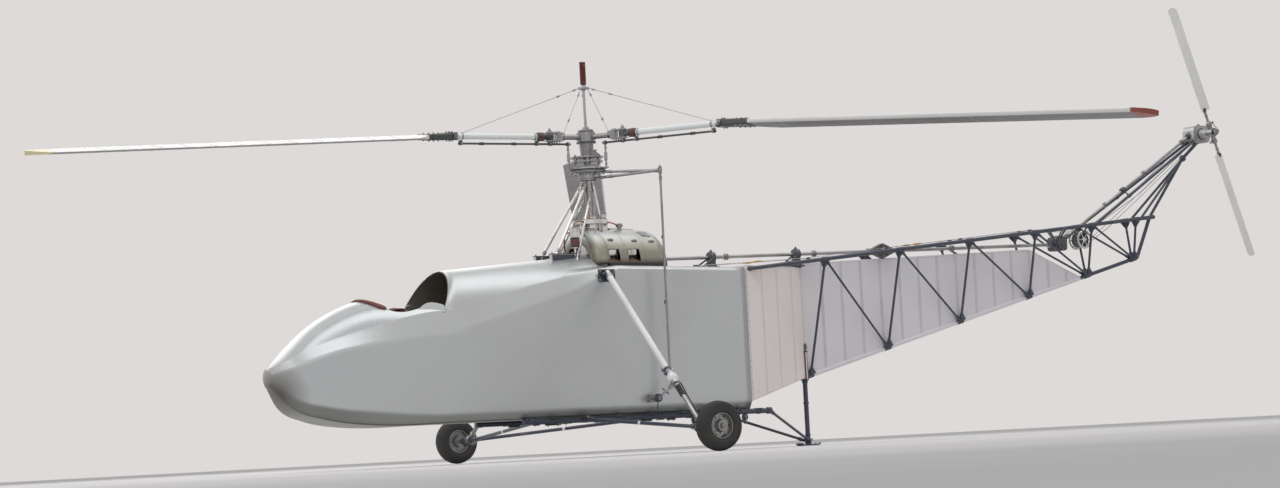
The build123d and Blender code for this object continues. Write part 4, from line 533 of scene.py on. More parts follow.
def settle(name, data, material, body, angle, bevel=0.0, evened=True, weld=0.000002):
    """Closes a mesh's shading, and puts it on its body."""
    mesh = bmesh.new()
    mesh.from_mesh(data)
    bmesh.ops.remove_doubles(mesh, verts=mesh.verts, dist=weld)
    bmesh.ops.recalc_face_normals(mesh, faces=mesh.faces)
    mesh.to_mesh(data)
    mesh.free()
    data.polygons.foreach_set("use_smooth", [True] * len(data.polygons))
    data.set_sharp_from_angle(angle=math.radians(angle))
    data.materials.append(material)
    piece = bpy.data.objects.new(name, data)
    bpy.context.scene.collection.objects.link(piece)
    if bevel:
        edge = piece.modifiers.new("edge", "BEVEL")
        edge.width, edge.segments, edge.angle_limit = bevel / 1000, 2, math.radians(40)
    if evened:
        piece.modifiers.new("evened", "WEIGHTED_NORMAL").keep_sharp = True
    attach(piece, body)
    return piece


def reskin(node, material, body="airframe", angle=24, bevel=0.0):
    """The same form as a CAD node, with its flats shaded as the one taut skin that they are."""
    data = NODES[node].data.copy()
    data.name = f"{node}_skin"
    data.materials.clear()
    if "custom_normal" in data.attributes:
        data.attributes.remove(data.attributes["custom_normal"])
    piece = settle(f"{node}_skin", data, material, body, angle, bevel, False, 0.00002)
    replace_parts(piece, node)
    return piece


def polar(radius, azimuth, z):
    """A point round the mast at an azimuth from aft."""
    return Vector((radius * math.cos(math.radians(azimuth)), radius * math.sin(math.radians(azimuth)), z))


def between(front, rear, station, side=1):
    """A point of the line from front to rear at a station, mirrored by side."""
    share = (station - front[0]) / (rear[0] - front[0])
    return Vector((station, side * (front[1] + share * (rear[1] - front[1])),
                   front[2] + share * (rear[2] - front[2])))


# Main rotor head, all of it turning with the main rotor
BLADES = (("aft_port", -61, 4.0), ("aft_starboard", 57, 5.2), ("forward", 179, 2.4))
ROTOR_MM = ROTOR_Z * 1000
DRAG_HINGE = 322
DROOP_HINGE = 1160
PITCH_LINK = 166
PITCH_ROD_Z = ROTOR_MM - 55
BLADE_PITCH = math.radians(7)


def blade_axes(azimuth, droop):
    """A blade's hinge point, and its span, leading and upward directions."""
    a, d = math.radians(azimuth), math.radians(droop)
    span = Vector((math.cos(a) * math.cos(d), math.sin(a) * math.cos(d), -math.sin(d)))
    level = Vector((math.sin(a), -math.cos(a), 0))
    leading = level * math.cos(BLADE_PITCH) + level.cross(span) * math.sin(BLADE_PITCH)
    return polar(DROOP_HINGE, azimuth, ROTOR_MM), span, leading, leading.cross(span)


def make_head_fittings():
    """Nuts, hinge pins, dampers and rod ends of the rotor head."""
    steel, dark, boot, brass_work = Form(), Form(), Form(), Form()
    for k in range(6):
        for z, way in ((2304, 1), (2258, -1)):
            steel.bolt(polar(106, 60 * k, z), (0, 0, way), 9)
    steel.turned((0, 0, 2498), (0, 0, 1), ((0, 60), (10, 60), (16, 50), (16, 30), (34, 26), (34, 12)), 24)
    for k in range(8):
        steel.bolt(polar(54, 45 * k + 20, 2506), (0, 0, 1), 6, False)
    for z, radius in ((2412, 77), (2498, 62)):
        dark.ring((0, 0, z), (0, 0, 1), radius - 4, 5, 36)
    for z in (2206, 2213):
        steel.ring((0, 0, z), (0, 0, 1), 141, 2.5, 40, 6)
    for name, azimuth, droop in BLADES:
        out = Vector(polar(1, azimuth, 0))
        side = Vector((-out.y, out.x, 0))
        for z, way in ((ROTOR_MM + 41, 1), (ROTOR_MM - 41, -1)):
            pin = polar(DRAG_HINGE, azimuth, z)
            steel.turned(pin - Vector((0, 0, way * 6)), (0, 0, way), ((0, 24), (4, 24)), 20)
            steel.bolt(pin, (0, 0, way), 15)
            brass_work.turned(pin + Vector((0, 0, way * 20)), (0, 0, way), ((0, 4), (8, 4), (11, 2)), 8)
        for reach in (250, 272):
            for across in (-22, 22):
                for z, way in ((ROTOR_MM + 35, 1), (ROTOR_MM - 35, -1)):
                    steel.bolt(polar(reach, azimuth, z) + side * across, (0, 0, way), 6)
        for reach in (196, 222, 236):
            steel.turned(polar(reach, azimuth, ROTOR_MM), out, ((0, 27), (9, 27)), 20)
        damper = polar(DRAG_HINGE + 50, azimuth, ROTOR_MM + 4) + side * 44
        dark.turned(damper - out * 52, out, ((0, 9), (6, 17), (60, 17), (66, 9), (104, 9)), 16)
        dark.box(polar(DRAG_HINGE + 10, azimuth, ROTOR_MM + 2) + side * 36, (26, 30, 20), out)
        dark.box(polar(DRAG_HINGE + 92, azimuth, ROTOR_MM + 2) + side * 30, (18, 34, 16), out)
        for reach, radius, length in ((378, 31, 60), (452, 27, 14), (1080, 28, 16)):
            holder = dark if length == 60 else steel
            holder.turned(polar(reach, azimuth, ROTOR_MM), out, ((0, radius - 5), (4, radius), (length / 2, radius + 2),
                          (length - 4, radius), (length, radius - 5)), 20)
        for reach in (384, 432):
            dark.ring(polar(reach, azimuth, ROTOR_MM), out, 31, 3.4, 24, 6)
        boot.turned(polar(394, azimuth, ROTOR_MM), out, ((0, 32), (3, 34.5), (28, 34.5), (31, 32)), 24)
        for reach in (PITCH_LINK, 440, DROOP_HINGE - 60):
            steel.turned(polar(reach, azimuth, PITCH_ROD_Z) - side * 20, side, ((0, 7), (40, 7)), 10)
            steel.bolt(polar(reach, azimuth, PITCH_ROD_Z) + side * 19, side, 7)
            steel.bolt(polar(reach, azimuth, PITCH_ROD_Z) - side * 19, -side, 7)
        for reach in (300, 620, 900):
            dark.turned(polar(reach, azimuth, PITCH_ROD_Z), out, ((0, 9), (3, 12), (40, 12), (43, 9)), 12)
        link = polar(PITCH_LINK, azimuth, 0)
        for z, height in ((2228, 16), (2352, 16)):
            steel.turned(link + Vector((0, 0, z)), (0, 0, 1), ((0, 11), (height, 11)), 6)
        steel.turned(link + Vector((0, 0, 2262)), (0, 0, 1), ((0, 8), (5, 12), (64, 12), (69, 8)), 12)
        steel.turned(link + Vector((0, 0, 2200)), (0, 0, 1), ((0, 6), (3, 12), (8, 14), (14, 12)), 14)
        centre, span, leading, upward = blade_axes(azimuth, droop)
        steel.turned(centre - leading * 46, leading, ((0, 14), (92, 14)), 16)
        steel.bolt(centre + leading * 44, leading, 13)
        steel.bolt(centre - leading * 44, -leading, 13)
        for reach in (24, 46, 150, 190, 230):
            half = 20 + reach * 0.12
            for across in (-half, half):
                thick = 32 - reach * 0.042
                for way in (1, -1):
                    steel.bolt(centre + span * reach + leading * across + upward * way * (thick - 1),
                               upward * way, 6)
        for reach in (206, 258):
            width = 43 + (reach - 70) * 0.17
            thick = 30.5 - reach * 0.031
            dark.box(centre + span * reach, (9, 2 * width + 1, 2 * thick + 1), span, upward)
    steel.show("head_fasteners", oiled_steel, "bare_steel", "main_rotor")
    dark.show("head_dampers", arm_black, "arm_dark", "main_rotor", bevel=1.2)
    boot.show("arm_boots", boot_red, "shock_red", "main_rotor")
    brass_work.show("grease_nipples", brass, "bare_steel", "main_rotor")


def make_king_post_fittings():
    """Collars, eyes and turnbuckles where the stays leave the king post."""
    steel, cap = Form(), Form()
    steel.turned((0, 0, 2503), (0, 0, 1), ((0, 26), (8, 26), (22, 15), (30, 15)), 20)
    steel.turned((0, 0, 2815), (0, 0, 1), ((0, 14), (6, 20), (14, 20)), 18)
    steel.turned((0, 0, 2841), (0, 0, 1), ((0, 20), (8, 20), (26, 13)), 18)
    for z in (2866, 2880):
        cap.ring((0, 0, z), (0, 0, 1), 18, 5, 24)
    cap.turned((0, 0, 3024), (0, 0, 1), ((0, 15), (6, 22), (11, 20), (14, 10)), 24)
    cap.turned((0, -22, 3008), (0, 1, 0), ((0, 12), (7, 12)), 16)
    for name, azimuth, droop in BLADES:
        for start, end, radius, shares in (
            (polar(38, azimuth, 2835), polar(DROOP_HINGE, azimuth, ROTOR_MM), 4, (0.03, 0.16, 0.93)),
            (polar(30, azimuth + 20, 2835), polar(DRAG_HINGE - 110, azimuth, ROTOR_MM), 3, (0.10, 0.62, 0.9)),
        ):
            run = end - start
            along = run.normalized()
            for share in shares:
                steel.turned(start + run * share, along,
                             ((0, radius), (5, radius + 4), (16, radius + 5), (27, radius + 4), (32, radius)), 10)
            steel.ring(start + along * 4, along.cross(Vector((0, 0, 1))), 7, 2.4, 14, 6)
    steel.show("stay_turnbuckles", oiled_steel, "bare_steel", "main_rotor")
    cap.show("king_cap_bands", cap_red, "shock_red", "main_rotor")


def make_blade_trim():
    """Rib tapes, root bands, the leading edge's abrasion strip and its screws on the blades."""
    tapes, edges, screws = Form(), Form(), Form()
    for name, azimuth, droop in BLADES:
        centre, span, leading, upward = blade_axes(azimuth, droop)
        nose, tail = 0.27 * 310, -0.73 * 310

        def height(share):
            """Half-thickness of the blade at a share of its chord from the nose."""
            rows = ((0, 2), (0.03, 12.5), (0.08, 16.2), (0.18, 18.4), (0.3, 19.2), (0.44, 17.6),
                    (0.58, 14.6), (0.985, 2.2))
            for (a, low), (b, high) in zip(rows, rows[1:]):
                if share <= b:
                    return low + (high - low) * (share - a) / (b - a)
            return 2.2

        shares = (0.02, 0.05, 0.08, 0.13, 0.18, 0.24, 0.3, 0.37, 0.44, 0.51, 0.58, 0.68, 0.78, 0.88, 0.94)
        reach = 560
        while reach < 3060:
            for way in (1, -1):
                loops = [[
                    centre + span * (reach + side) + leading * (nose - 310 * share)
                    + upward * way * (height(share) + lift)
                    for side, lift in ((-11, -0.6), (-11, 0.9), (11, 0.9), (11, -0.6))
                ] for share in shares]
                tapes.skin(loops)
            reach += 210
        steps = [430 + (3150 - 430) * k / 24 for k in range(25)]
        section = [(share, 1) for share in (0.085, 0.06, 0.03, 0.012)] + [(0.0, 0)] + [
            (share, -1) for share in (0.012, 0.03, 0.06, 0.085)]
        outer = [[centre + span * r + leading * (nose - 310 * share + 0.8 * (share < 0.02))
                  + upward * way * (height(share) + 0.7) for share, way in section] for r in steps]
        edges.skin(outer, closed=False)
        for k in range(46):
            r = 450 + 58 * k
            for way in (1, -1):
                screws.rivet(centre + span * r + leading * (nose - 310 * 0.072) + upward * way * (height(0.072) + 0.6),
                             upward * way, 2.6)
        for r in (432, 520):
            for way in (1, -1):
                loops = [[
                    centre + span * (r + side) + leading * (nose - 310 * share) + upward * way * (height(share) + lift)
                    for side, lift in ((-14, -0.6), (-14, 1.6), (14, 1.6), (14, -0.6))
                ] for share in (0.03, 0.08, 0.18, 0.3, 0.44, 0.5)]
                edges.skin(loops)
    tapes.show("blade_rib_tapes", blade_tape_painted_shade, "blade_paint", "main_rotor", angle=50)
    edges.show("blade_edge_strips", edge_metal_painted_shade, "blade_paint", "main_rotor", angle=60)
    screws.show("blade_edge_screws", oiled_steel, "bare_steel", "main_rotor")


make_head_fittings()
make_king_post_fittings()
make_blade_trim()


# Tail rotor: hub nut, pitch horns with their links, and blade root sleeves
def make_tail_rotor_fittings():
    """What turns with the tail rotor beyond its blades and hub."""
    steel, bands = Form(), Form()
    hub = Vector(((TAIL_AT.x - MAST_X) * 1000, TAIL_AT.y * 1000, TAIL_AT.z * 1000))
    tilt = math.radians(20)
    up = Vector((-math.sin(tilt), 0, math.cos(tilt)))
    out = Vector((0, -1, 0))
    flat = up.cross(out)
    steel.turned(hub + out * 44, out, ((0, 16), (2, 21), (14, 21), (14, 9), (24, 9)), 6)
    steel.turned(hub + out * 30, out, ((0, 39), (5, 36), (5, 20)), 24)
    for k in range(6):
        turn = math.tau * k / 6
        steel.bolt(hub + out * 33 + (up * math.cos(turn) + flat * math.sin(turn)) * 29, out, 4.5, False)
    for sign in (1, -1):
        root = hub + up * sign * 95
        steel.turned(root, up * sign, ((-30, 21), (-26, 25), (-8, 25), (0, 22), (6, 15)), 20)
        steel.bolt(hub + up * sign * 60 + flat * 19, flat, 7)
        steel.bolt(hub + up * sign * 60 - flat * 19, -flat, 7)
        horn = hub + up * sign * 78 + flat * sign * 46
        steel.box(hub + up * sign * 78 + flat * sign * 26, (14, 10, 46), up * sign, flat)
        steel.turned(horn - out * 9, out, ((0, 9), (18, 9)), 12)
        steel.rod(horn - out * 4, hub + out * 62 + flat * sign * 26 + up * sign * 8, 4)
        for reach in (150, 182):
            steel.turned(hub + up * sign * reach, up * sign, ((0, 12), (3, 16), (9, 16), (12, 12)), 16)
        bands.turned(hub + up * sign * 196, up * sign, ((0, 12), (4, 19), (22, 19), (30, 13)), 20)
    steel.turned(hub + out * 56, out, ((0, 26), (6, 26), (9, 12), (16, 12)), 20)
    steel.box(hub + out * 62, (12, 60, 12), out, up)
    steel.show("tail_rotor_fittings", oiled_steel, "bare_steel", "tail_rotor")
    bands.show("tail_blade_sleeves", arm_black, "arm_dark", "tail_rotor")


make_tail_rotor_fittings()


# Mast, gearbox and cowl
COWL_FRONT, COWL_SHOULDER = -40, 420
COWL_AXIS_Z = 1440


def cowl_radius(station):
    """The cowl's outer radius at a station."""
    if station <= COWL_SHOULDER:
        return 318 - 24 * (station - COWL_FRONT) / (COWL_SHOULDER - COWL_FRONT)
    return 154 + math.sqrt(max(140**2 - (station - COWL_SHOULDER) ** 2, 0))


def on_cowl(station, turn, lift=0.0):
    """A point on the cowl: turn in degrees from the port side over the top."""
    radius = cowl_radius(station) + lift
    return Vector((station, -radius * math.cos(math.radians(turn)),
                   COWL_AXIS_Z + radius * math.sin(math.radians(turn))))


def make_cowl_trim():
    """Seam bands, rivets, window rims, catches and the filler on the cowl."""
    bands, rivets, rims, catches = Form(), Form(), Form(), Form()
    for low, high in ((-38, -20), (120, 142), (300, 322)):
        for start, stop in ((30, 150),) if low < 200 else ((8, 172),):
            loops = []
            for k in range(41):
                turn = start + (stop - start) * k / 40
                loops.append([on_cowl(low, turn, -0.5), on_cowl(low, turn, 1.3), on_cowl(high, turn, 1.3),
                              on_cowl(high, turn, -0.5)])
            bands.skin(loops)
            for k in range(31):
                turn = start + 2 + (stop - start - 4) * k / 30
                out = on_cowl(low, turn, 10) - on_cowl(low, turn)
                for station in (low + 4, high - 4):
                    rivets.rivet(on_cowl(station, turn, 1.1), out, 3)
    for side in (1, -1):
        for low_turn in (6.5,):
            for k in range(44):
                station = -32 + 10.5 * k
                if 255 < station < 260 or (station < 262 and station > -60):
                    continue
                turn = low_turn if side == 1 else 180 - low_turn
                rivets.rivet(on_cowl(station, turn), on_cowl(station, turn, 10) - on_cowl(station, turn), 3)
    for side in (-1, 1):
        for centre, half in ((196, 59), (7, 59)):
            outline = []
            front = max(centre - half, COWL_FRONT + 3)
            for s, z in ([(front + (centre + half - front) * k / 8, 1571) for k in range(9)]
                         + [(centre + half, 1571 - 100 * k / 6) for k in range(1, 7)]
                         + [(centre + half - (centre + half - front) * k / 8, 1471) for k in range(1, 9)]
                         + [(front, 1471 + 100 * k / 6) for k in range(1, 6)]):
                radius = cowl_radius(s) - 1
                outline.append((s, side * math.sqrt(radius**2 - (z - COWL_AXIS_Z) ** 2), z))
            rims.cable(outline, 4, 8, closed=True)
    rims.cable([on_cowl(COWL_FRONT + 1, 4 + 172 * k / 60, -1) for k in range(61)], 5, 8)
    for turn in (40, 140):
        for station in (20, 240, 400):
            out = (on_cowl(station, turn, 10) - on_cowl(station, turn)).normalized()
            catches.box(on_cowl(station, turn, 4), (46, 18, 8), (1, 0, 0), out)
            catches.cable([on_cowl(station + ahead, turn, lift) for ahead, lift in ((-20, 9), (0, 14), (22, 9))], 3)
            catches.rivet(on_cowl(station + 17, turn, 8), out, 5)
    catches.cable([on_cowl(COWL_FRONT + 170 + k * 12, 90, 3) for k in range(21)], 4, 8)
    for k in range(10):
        catches.box(on_cowl(COWL_FRONT + 180 + k * 25, 90, 2), (10, 40, 4), (1, 0, 0))
    catches.turned((197, -100, 1722), (0, 0, 1),
                   ((0, 17), (28, 17), (30, 25), (52, 25), (58, 19), (60, 8)), 20)
    for k in range(8):
        turn = math.tau * k / 8
        catches.box((197 + 25 * math.cos(turn), -100 + 25 * math.sin(turn), 1763), (5, 5, 18),
                    (math.cos(turn), math.sin(turn), 0))
    for side in (-1, 1):
        for k in range(5):
            station = 345 + 17 * k
            turn = 58 if side < 0 else 122
            catches.box(on_cowl(station, turn, 2), (9, 70, 6), (1, 0, 0.3),
                        on_cowl(station, turn, 10) - on_cowl(station, turn))
    bands.show("cowl_bands", cowl_metal_painted_shade, "cast_alloy")
    rivets.show("cowl_rivets", oiled_steel, "bare_steel")
    rims.show("cowl_rims", cowl_metal_painted_shade, "cast_alloy", angle=60)
    catches.show("cowl_catches", oiled_steel, "bare_steel", bevel=0.8)


def make_cowl_nose():
    """The cowl's rounded front, rolled inward round the gearbox."""
    nose = Form()
    loops = []
    for k in range(13):
        turn = math.radians(112 * k / 12)
        radius, station = 318 - 92 * (1 - math.cos(turn)), COWL_FRONT - 92 * math.sin(turn)
        loops.append([Vector((station, -radius * math.cos(math.radians(3 + 174 * n / 48)),
                              COWL_AXIS_Z + radius * math.sin(math.radians(3 + 174 * n / 48)))) for n in range(49)])
    nose.skin(loops, closed=False)
    piece = nose.show("cowl_nose", cowl_metal_painted_shade, "cast_alloy", angle=60)
    depth = piece.modifiers.new("depth", "SOLIDIFY")
    depth.thickness, depth.offset = 0.003, 0


def make_engine_fittings():
    """Rocker boxes, plugs with their leads, and the exhaust manifolds inside the cowl's windows."""
    boxes, pipes, leads, plugs = Form(), Form(), Form(), Form()
    for name, side in SIDES:
        for station in (22, 196):
            boxes.box((station, side * 250, 1553), (88, 26, 62))
            boxes.box((station, side * 265, 1553), (74, 6, 50))
            for across in (-36, 36):
                for up in (-23, 23):
                    plugs.bolt((station + across, side * 263, 1553 + up), (0, side, 0), 4, False)
            bend = ((190, 1510), (230, 1500), (258, 1488), (268, 1474))
            pipes.cable([(station, side * y, z) for y, z in bend], 17, 12)
            pipes.turned((station, side * 184, 1511), (0, side, -0.15), ((0, 26), (8, 26)), 12)
            plugs.turned((station + 52, side * 214, 1545), (0.5, side, 0.2),
                         ((0, 9), (8, 9), (8, 6), (26, 5), (30, 7), (40, 7)), 8)
            leads.cable([(station + 66, side * 248, 1552), (station + 78, side * 262, 1566),
                         (station + 74, side * 240, 1600), (station + 40, side * 180, 1625),
                         (station, side * 90, 1622)], 4)
        pipes.cable([(-20, side * 262, 1474), (22, side * 268, 1474), (196, side * 268, 1472), (300, side * 256, 1472),
                     (400, side * 200, 1480), (470, side * 120, 1488)], 19, 12)
    boxes.show("rocker_boxes", polished_alloy, "cast_alloy", bevel=6)
    pipes.show("exhaust_pipes", burnt_pipe, "engine_iron", angle=50)
    leads.show("plug_leads", hose_black, "engine_iron", angle=60)
    plugs.show("plugs", brass, "bare_steel")


def make_gearbox_fittings():
    """Bolts, oil pipes, pump sleeve and leg ends round the mast's foot."""
    steel, pump, pipes, plates, clips = Form(), Form(), Form(), Form(), Form()
    for k in range(1, 12):
        steel.bolt(polar(123, 30 * k + 6, 1812), (0, 0, 1), 8)
        steel.turned(polar(123, 30 * k + 6, 1780), (0, 0, -1), ((0, 8), (8, 8)), 6)
    steel.turned((0, 0, 1811), (0, 0, 1), ((0, 74), (9, 74), (12, 62), (30, 49), (52, 47)), 28)
    for k in range(8):
        steel.bolt(polar(64, 45 * k + 15, 1820), (0, 0, 1), 5, False)
    for z in (1925, 2034):
        steel.turned((0, 0, z), (0, 0, 1), ((0, 46), (2, 51), (20, 51), (22, 46)), 28)
        steel.box((52, 0, z + 11), (22, 18, 20))
        steel.bolt((56, 9, z + 11), (0, 1, 0), 5)
    for k in range(12):
        steel.bolt(polar(126, 30 * k + 15, 2176), (0, 0, -1), 6)
    for z in (2180, 2192):
        clips.ring((0, 0, z), (0, 0, 1), 138, 2.6, 44, 6)
    steel.sleeve((0, 0, 2120), (0, 0, 1), ((0, 66), (3, 76), (12, 76), (16, 72)), 46.5)
    steel.turned((112, 0, 1858), (0, 0, 1), ((0, 26), (6, 29), (16, 29), (20, 20), (24, 9)), 20)
    steel.box((112, 0, 1884), (34, 8, 8))
    for k in range(6):
        steel.box(polar(96, 60 * k, 1700), (10, 20, 26), polar(1, 60 * k, 0))
    pump_at = Vector((-222, -120, 0))
    pump.turned(pump_at + Vector((0, 0, 1594)), (0, 0, 1), ((0, 30), (3, 34.5), (78, 34.5), (81, 30)), 28)
    for z in (1604, 1662):
        clips.turned(pump_at + Vector((0, 0, z)), (0, 0, 1), ((0, 34), (1, 36.5), (9, 36.5), (10, 34)), 28)
        clips.box(pump_at + Vector((-26, -27, z + 5)), (16, 16, 9), (1, 1, 0))
    for k in range(6):
        turn = math.tau * k / 6
        steel.bolt(pump_at + Vector((31 * math.cos(turn), 31 * math.sin(turn), 1742)), (0, 0, 1), 5, False)
    steel.turned(pump_at + Vector((0, 0, 1742)), (0, 0, 1), ((0, 22), (5, 22), (8, 12), (18, 12), (18, 8)), 18)
    steel.turned(pump_at + Vector((0, 0, 1500)), (0, 0, 1), ((12, 24), (18, 24), (22, 12)), 16)
    pipes.cable([(-222, -120, 1757), (-222, -120, 1778), (-205, -118, 1794), (-160, -104, 1800), (-118, -86, 1797),
                 (-100, -72, 1780), (-92, -62, 1760)], 6.5, 10)
    pipes.cable([(-256, -112, 1712), (-278, -92, 1706), (-280, -60, 1680), (-262, -30, 1600),
                 (-250, -20, 1530)], 6.5, 10)
    pipes.cable([(-80, -96, 1768), (-74, -108, 1800), (-58, -92, 1838), (-40, -50, 1880), (-34, -36, 1960),
                 (-34, -38, 2060), (-48, -52, 2110)], 5, 10)
    pipes.cable([(90, -70, 1795), (110, -100, 1790), (150, -110, 1775), (190, -104, 1762)], 6, 10)
    for place, axis in (((-92, -62, 1764), (-1, -0.6, 0.6)), ((-256, -112, 1712), (-1, 0.3, 0)),
                        ((-80, -96, 1764), (0, -1, 0.3))):
        steel.turned(place, axis, ((-4, 10), (8, 10)), 6)
    for side in (-1, 1):
        plates.box((-340, side * 120, 1549), (216, 46, 7))
        plates.box((-340, side * 120, 1520), (200, 38, 46))
        for station in (-432, -370, -310, -252):
            steel.bolt((station, side * 120, 1552), (0, 0, 1), 7)
        for foot, head in (((-430, 120, 1470), (-20, 25, 2120)), ((-250, 170, 1470), (-10, 30, 1990))):
            run = Vector((head[0], side * head[1], head[2])) - Vector((foot[0], side * foot[1], foot[2]))
            along, start = run.normalized(), Vector((foot[0], side * foot[1], foot[2]))
            for near in (0.14, 0.88):
                steel.turned(start + run * near, along, ((0, 11), (4, 15), (30, 15), (34, 11)), 14)
            clevis = start + run * 0.115
            steel.turned(clevis - Vector((0, 22, 0)), (0, 1, 0), ((0, 8), (44, 8)), 10)
            steel.bolt(clevis + Vector((0, side * 20, 0)), (0, side, 0), 8)
    for azimuth in (-80, 40, 160):
        low, high = polar(120, azimuth, 1808), polar(46, azimuth, 2118)
        run = high - low
        for near in (0.03, 0.86):
            steel.turned(low + run * near, run, ((0, 9), (4, 13), (26, 13), (30, 9)), 14)
        steel.box(low + Vector((0, 0, 10)), (36, 20, 14), polar(1, azimuth, 0))
    steel.show("mast_fasteners", oiled_steel, "bare_steel")
    pump.show("pump_body", pump_red, "shock_red")
    pipes.show("oil_pipes", copper_pipe, "bare_steel", angle=60)
    plates.show("leg_foot_plates", navy_tube, "dark_tube", bevel=1.5)
    clips.show("clips_and_seams", arm_black, "arm_dark")


# Control run on the port side
def make_control_fittings():
    """Rod ends, lock nuts and the bellcrank's bolts."""
    steel, dark = Form(), Form()
    tip = Vector((336, -500, 2152))
    foot = Vector((336, -472, 500))
    run = foot - tip
    for near in (0.025, 0.955):
        steel.turned(tip + run * near, run, ((0, 9), (4, 13), (34, 13), (38, 9)), 6)
    for near in (0.3, 0.6):
        dark.turned(tip + run * near, run, ((0, 9.4), (2, 12), (26, 12), (28, 9.4)), 14)
    steel.bolt(tip + Vector((0, 0, 20)), (0, 0, 1), 11)
    steel.bolt(tip + Vector((0, 0, -24)), (0, 0, -1), 9)
    for root_z in (2186, 2131):
        root = Vector((0, 0, root_z))
        along = tip - root
        for near in (0.3, 0.93):
            steel.turned(root + along * near, along, ((0, 11), (4, 14.5), (22, 14.5), (26, 11)), 14)
    dark.turned((232, -474, 422), (0, -1, 0), ((0, 26), (3, 30), (9, 30), (12, 22)), 24)
    dark.ring((232, -462, 422), (0, 1, 0), 28, 5, 28, 8)
    steel.bolt((232, -486, 422), (0, -1, 0), 10)
    steel.bolt((336, -494, 500), (0, -1, 0), 8)
    for s in (-34, 34):
        for z in (-20, 20):
            steel.bolt((232 + s, -388, 422 + z), (0, -1, 0), 6)
    dark.box((300, -470, 470), (70, 6, 12), (-104, 0, 78), (0, 1, 0))
    dark.cable([(232, -462, 396), (240, -440, 340), (262, -410, 312), (300, -384, 302)], 4)
    steel.show("control_fasteners", oiled_steel, "bare_steel")
    dark.show("control_collars", navy_tube, "dark_tube")


make_cowl_trim()
make_cowl_nose()
make_engine_fittings()
make_gearbox_fittings()
make_control_fittings()


# Boom and tail
LONGERON_FRONT, LONGERON_REAR = (1158, 352, 1394), (5720, 55, 1812)
KEEL_FRONT, KEEL_REAR = (1960, 0, 548), (5549, 0, 1465)
BOOM_STATIONS = (1995, 2788, 3557, 4306, 4970, 5500)
FIN_END = 4880
SHAFT_FRONT, SHAFT_REAR = (535, 0, 1505), (4610, 0, 1585)


def longeron_at(station, side):
    return between(LONGERON_FRONT, LONGERON_REAR, station, side)


def keel_at(station):
    return between(KEEL_FRONT, KEEL_REAR, station)


def make_boom_joints():
    """Sleeves, gussets and rivets where posts and diagonals meet the long tubes."""
    sleeves, gussets, rivets = Form(), Form(), Form()
    keel_way = (Vector(KEEL_REAR) - Vector(KEEL_FRONT)).normalized()
    for station in BOOM_STATIONS:
        foot = keel_at(station)
        sleeves.turned(foot - keel_way * 36, keel_way, ((0, 18), (4, 21.5), (68, 21.5), (72, 18)), 18)
        for name, side in SIDES:
            head = longeron_at(station, side)
            way = (longeron_at(5000, side) - longeron_at(2000, side)).normalized()
            sleeves.turned(head - way * 34, way, ((0, 16), (4, 19.5), (64, 19.5), (68, 16)), 18)
            root = foot + Vector((0, side * 15, 0))
            post = (head - root).normalized()
            sleeves.turned(root + post * 20, post, ((0, 10), (3, 13.5), (44, 13.5), (47, 10)), 12)
            sleeves.turned(head - post * 66, post, ((0, 10), (3, 13.5), (42, 13.5), (45, 10)), 12)
            face = way.cross(post).normalized() * 4
            gussets.plate([head - face / 2 + way * 66, head - face / 2 - way * 66, head - face / 2 - post * 84], face)
            face = keel_way.cross(post).normalized() * 4
            gussets.plate([root - face / 2 + keel_way * 60, root - face / 2 - keel_way * 60,
                           root - face / 2 + post * 84], face)
            for share in (-34, 34):
                rivets.bolt(head + way * share - post * 27 + face / 2, face, 4, False)
                rivets.bolt(root + keel_way * share + post * 27 + face / 2, face, 4, False)
    for upper, lower in zip(BOOM_STATIONS[:-1], BOOM_STATIONS[1:]):
        for name, side in SIDES:
            head, root = longeron_at(upper, side), keel_at(lower) + Vector((0, side * 15, 0))
            run = (root - head).normalized()
            for start in (head + run * 26, root - run * 70):
                sleeves.turned(start, run, ((0, 9), (3, 12.5), (42, 12.5), (45, 9)), 12)
    for station in BOOM_STATIONS:
        if station != 2788:
            for name, side in SIDES:
                sleeves.turned(longeron_at(station, side) - Vector((0, side * 16, 0)), (0, -side, 0),
                               ((0, 9), (3, 12), (34, 12), (37, 9)), 12)
    for name, side in SIDES:
        way = (longeron_at(5000, side) - longeron_at(2000, side)).normalized()
        for station in (1190, 1600):
            sleeves.turned(longeron_at(station, side), way, ((0, 16), (4, 20), (46, 20), (50, 16)), 16)
    sleeves.show("boom_sleeves", navy_tube, "dark_tube", angle=50)
    gussets.show("boom_gussets", navy_tube, "dark_tube", bevel=0.8)
    rivets.show("boom_bolts", oiled_steel, "bare_steel")


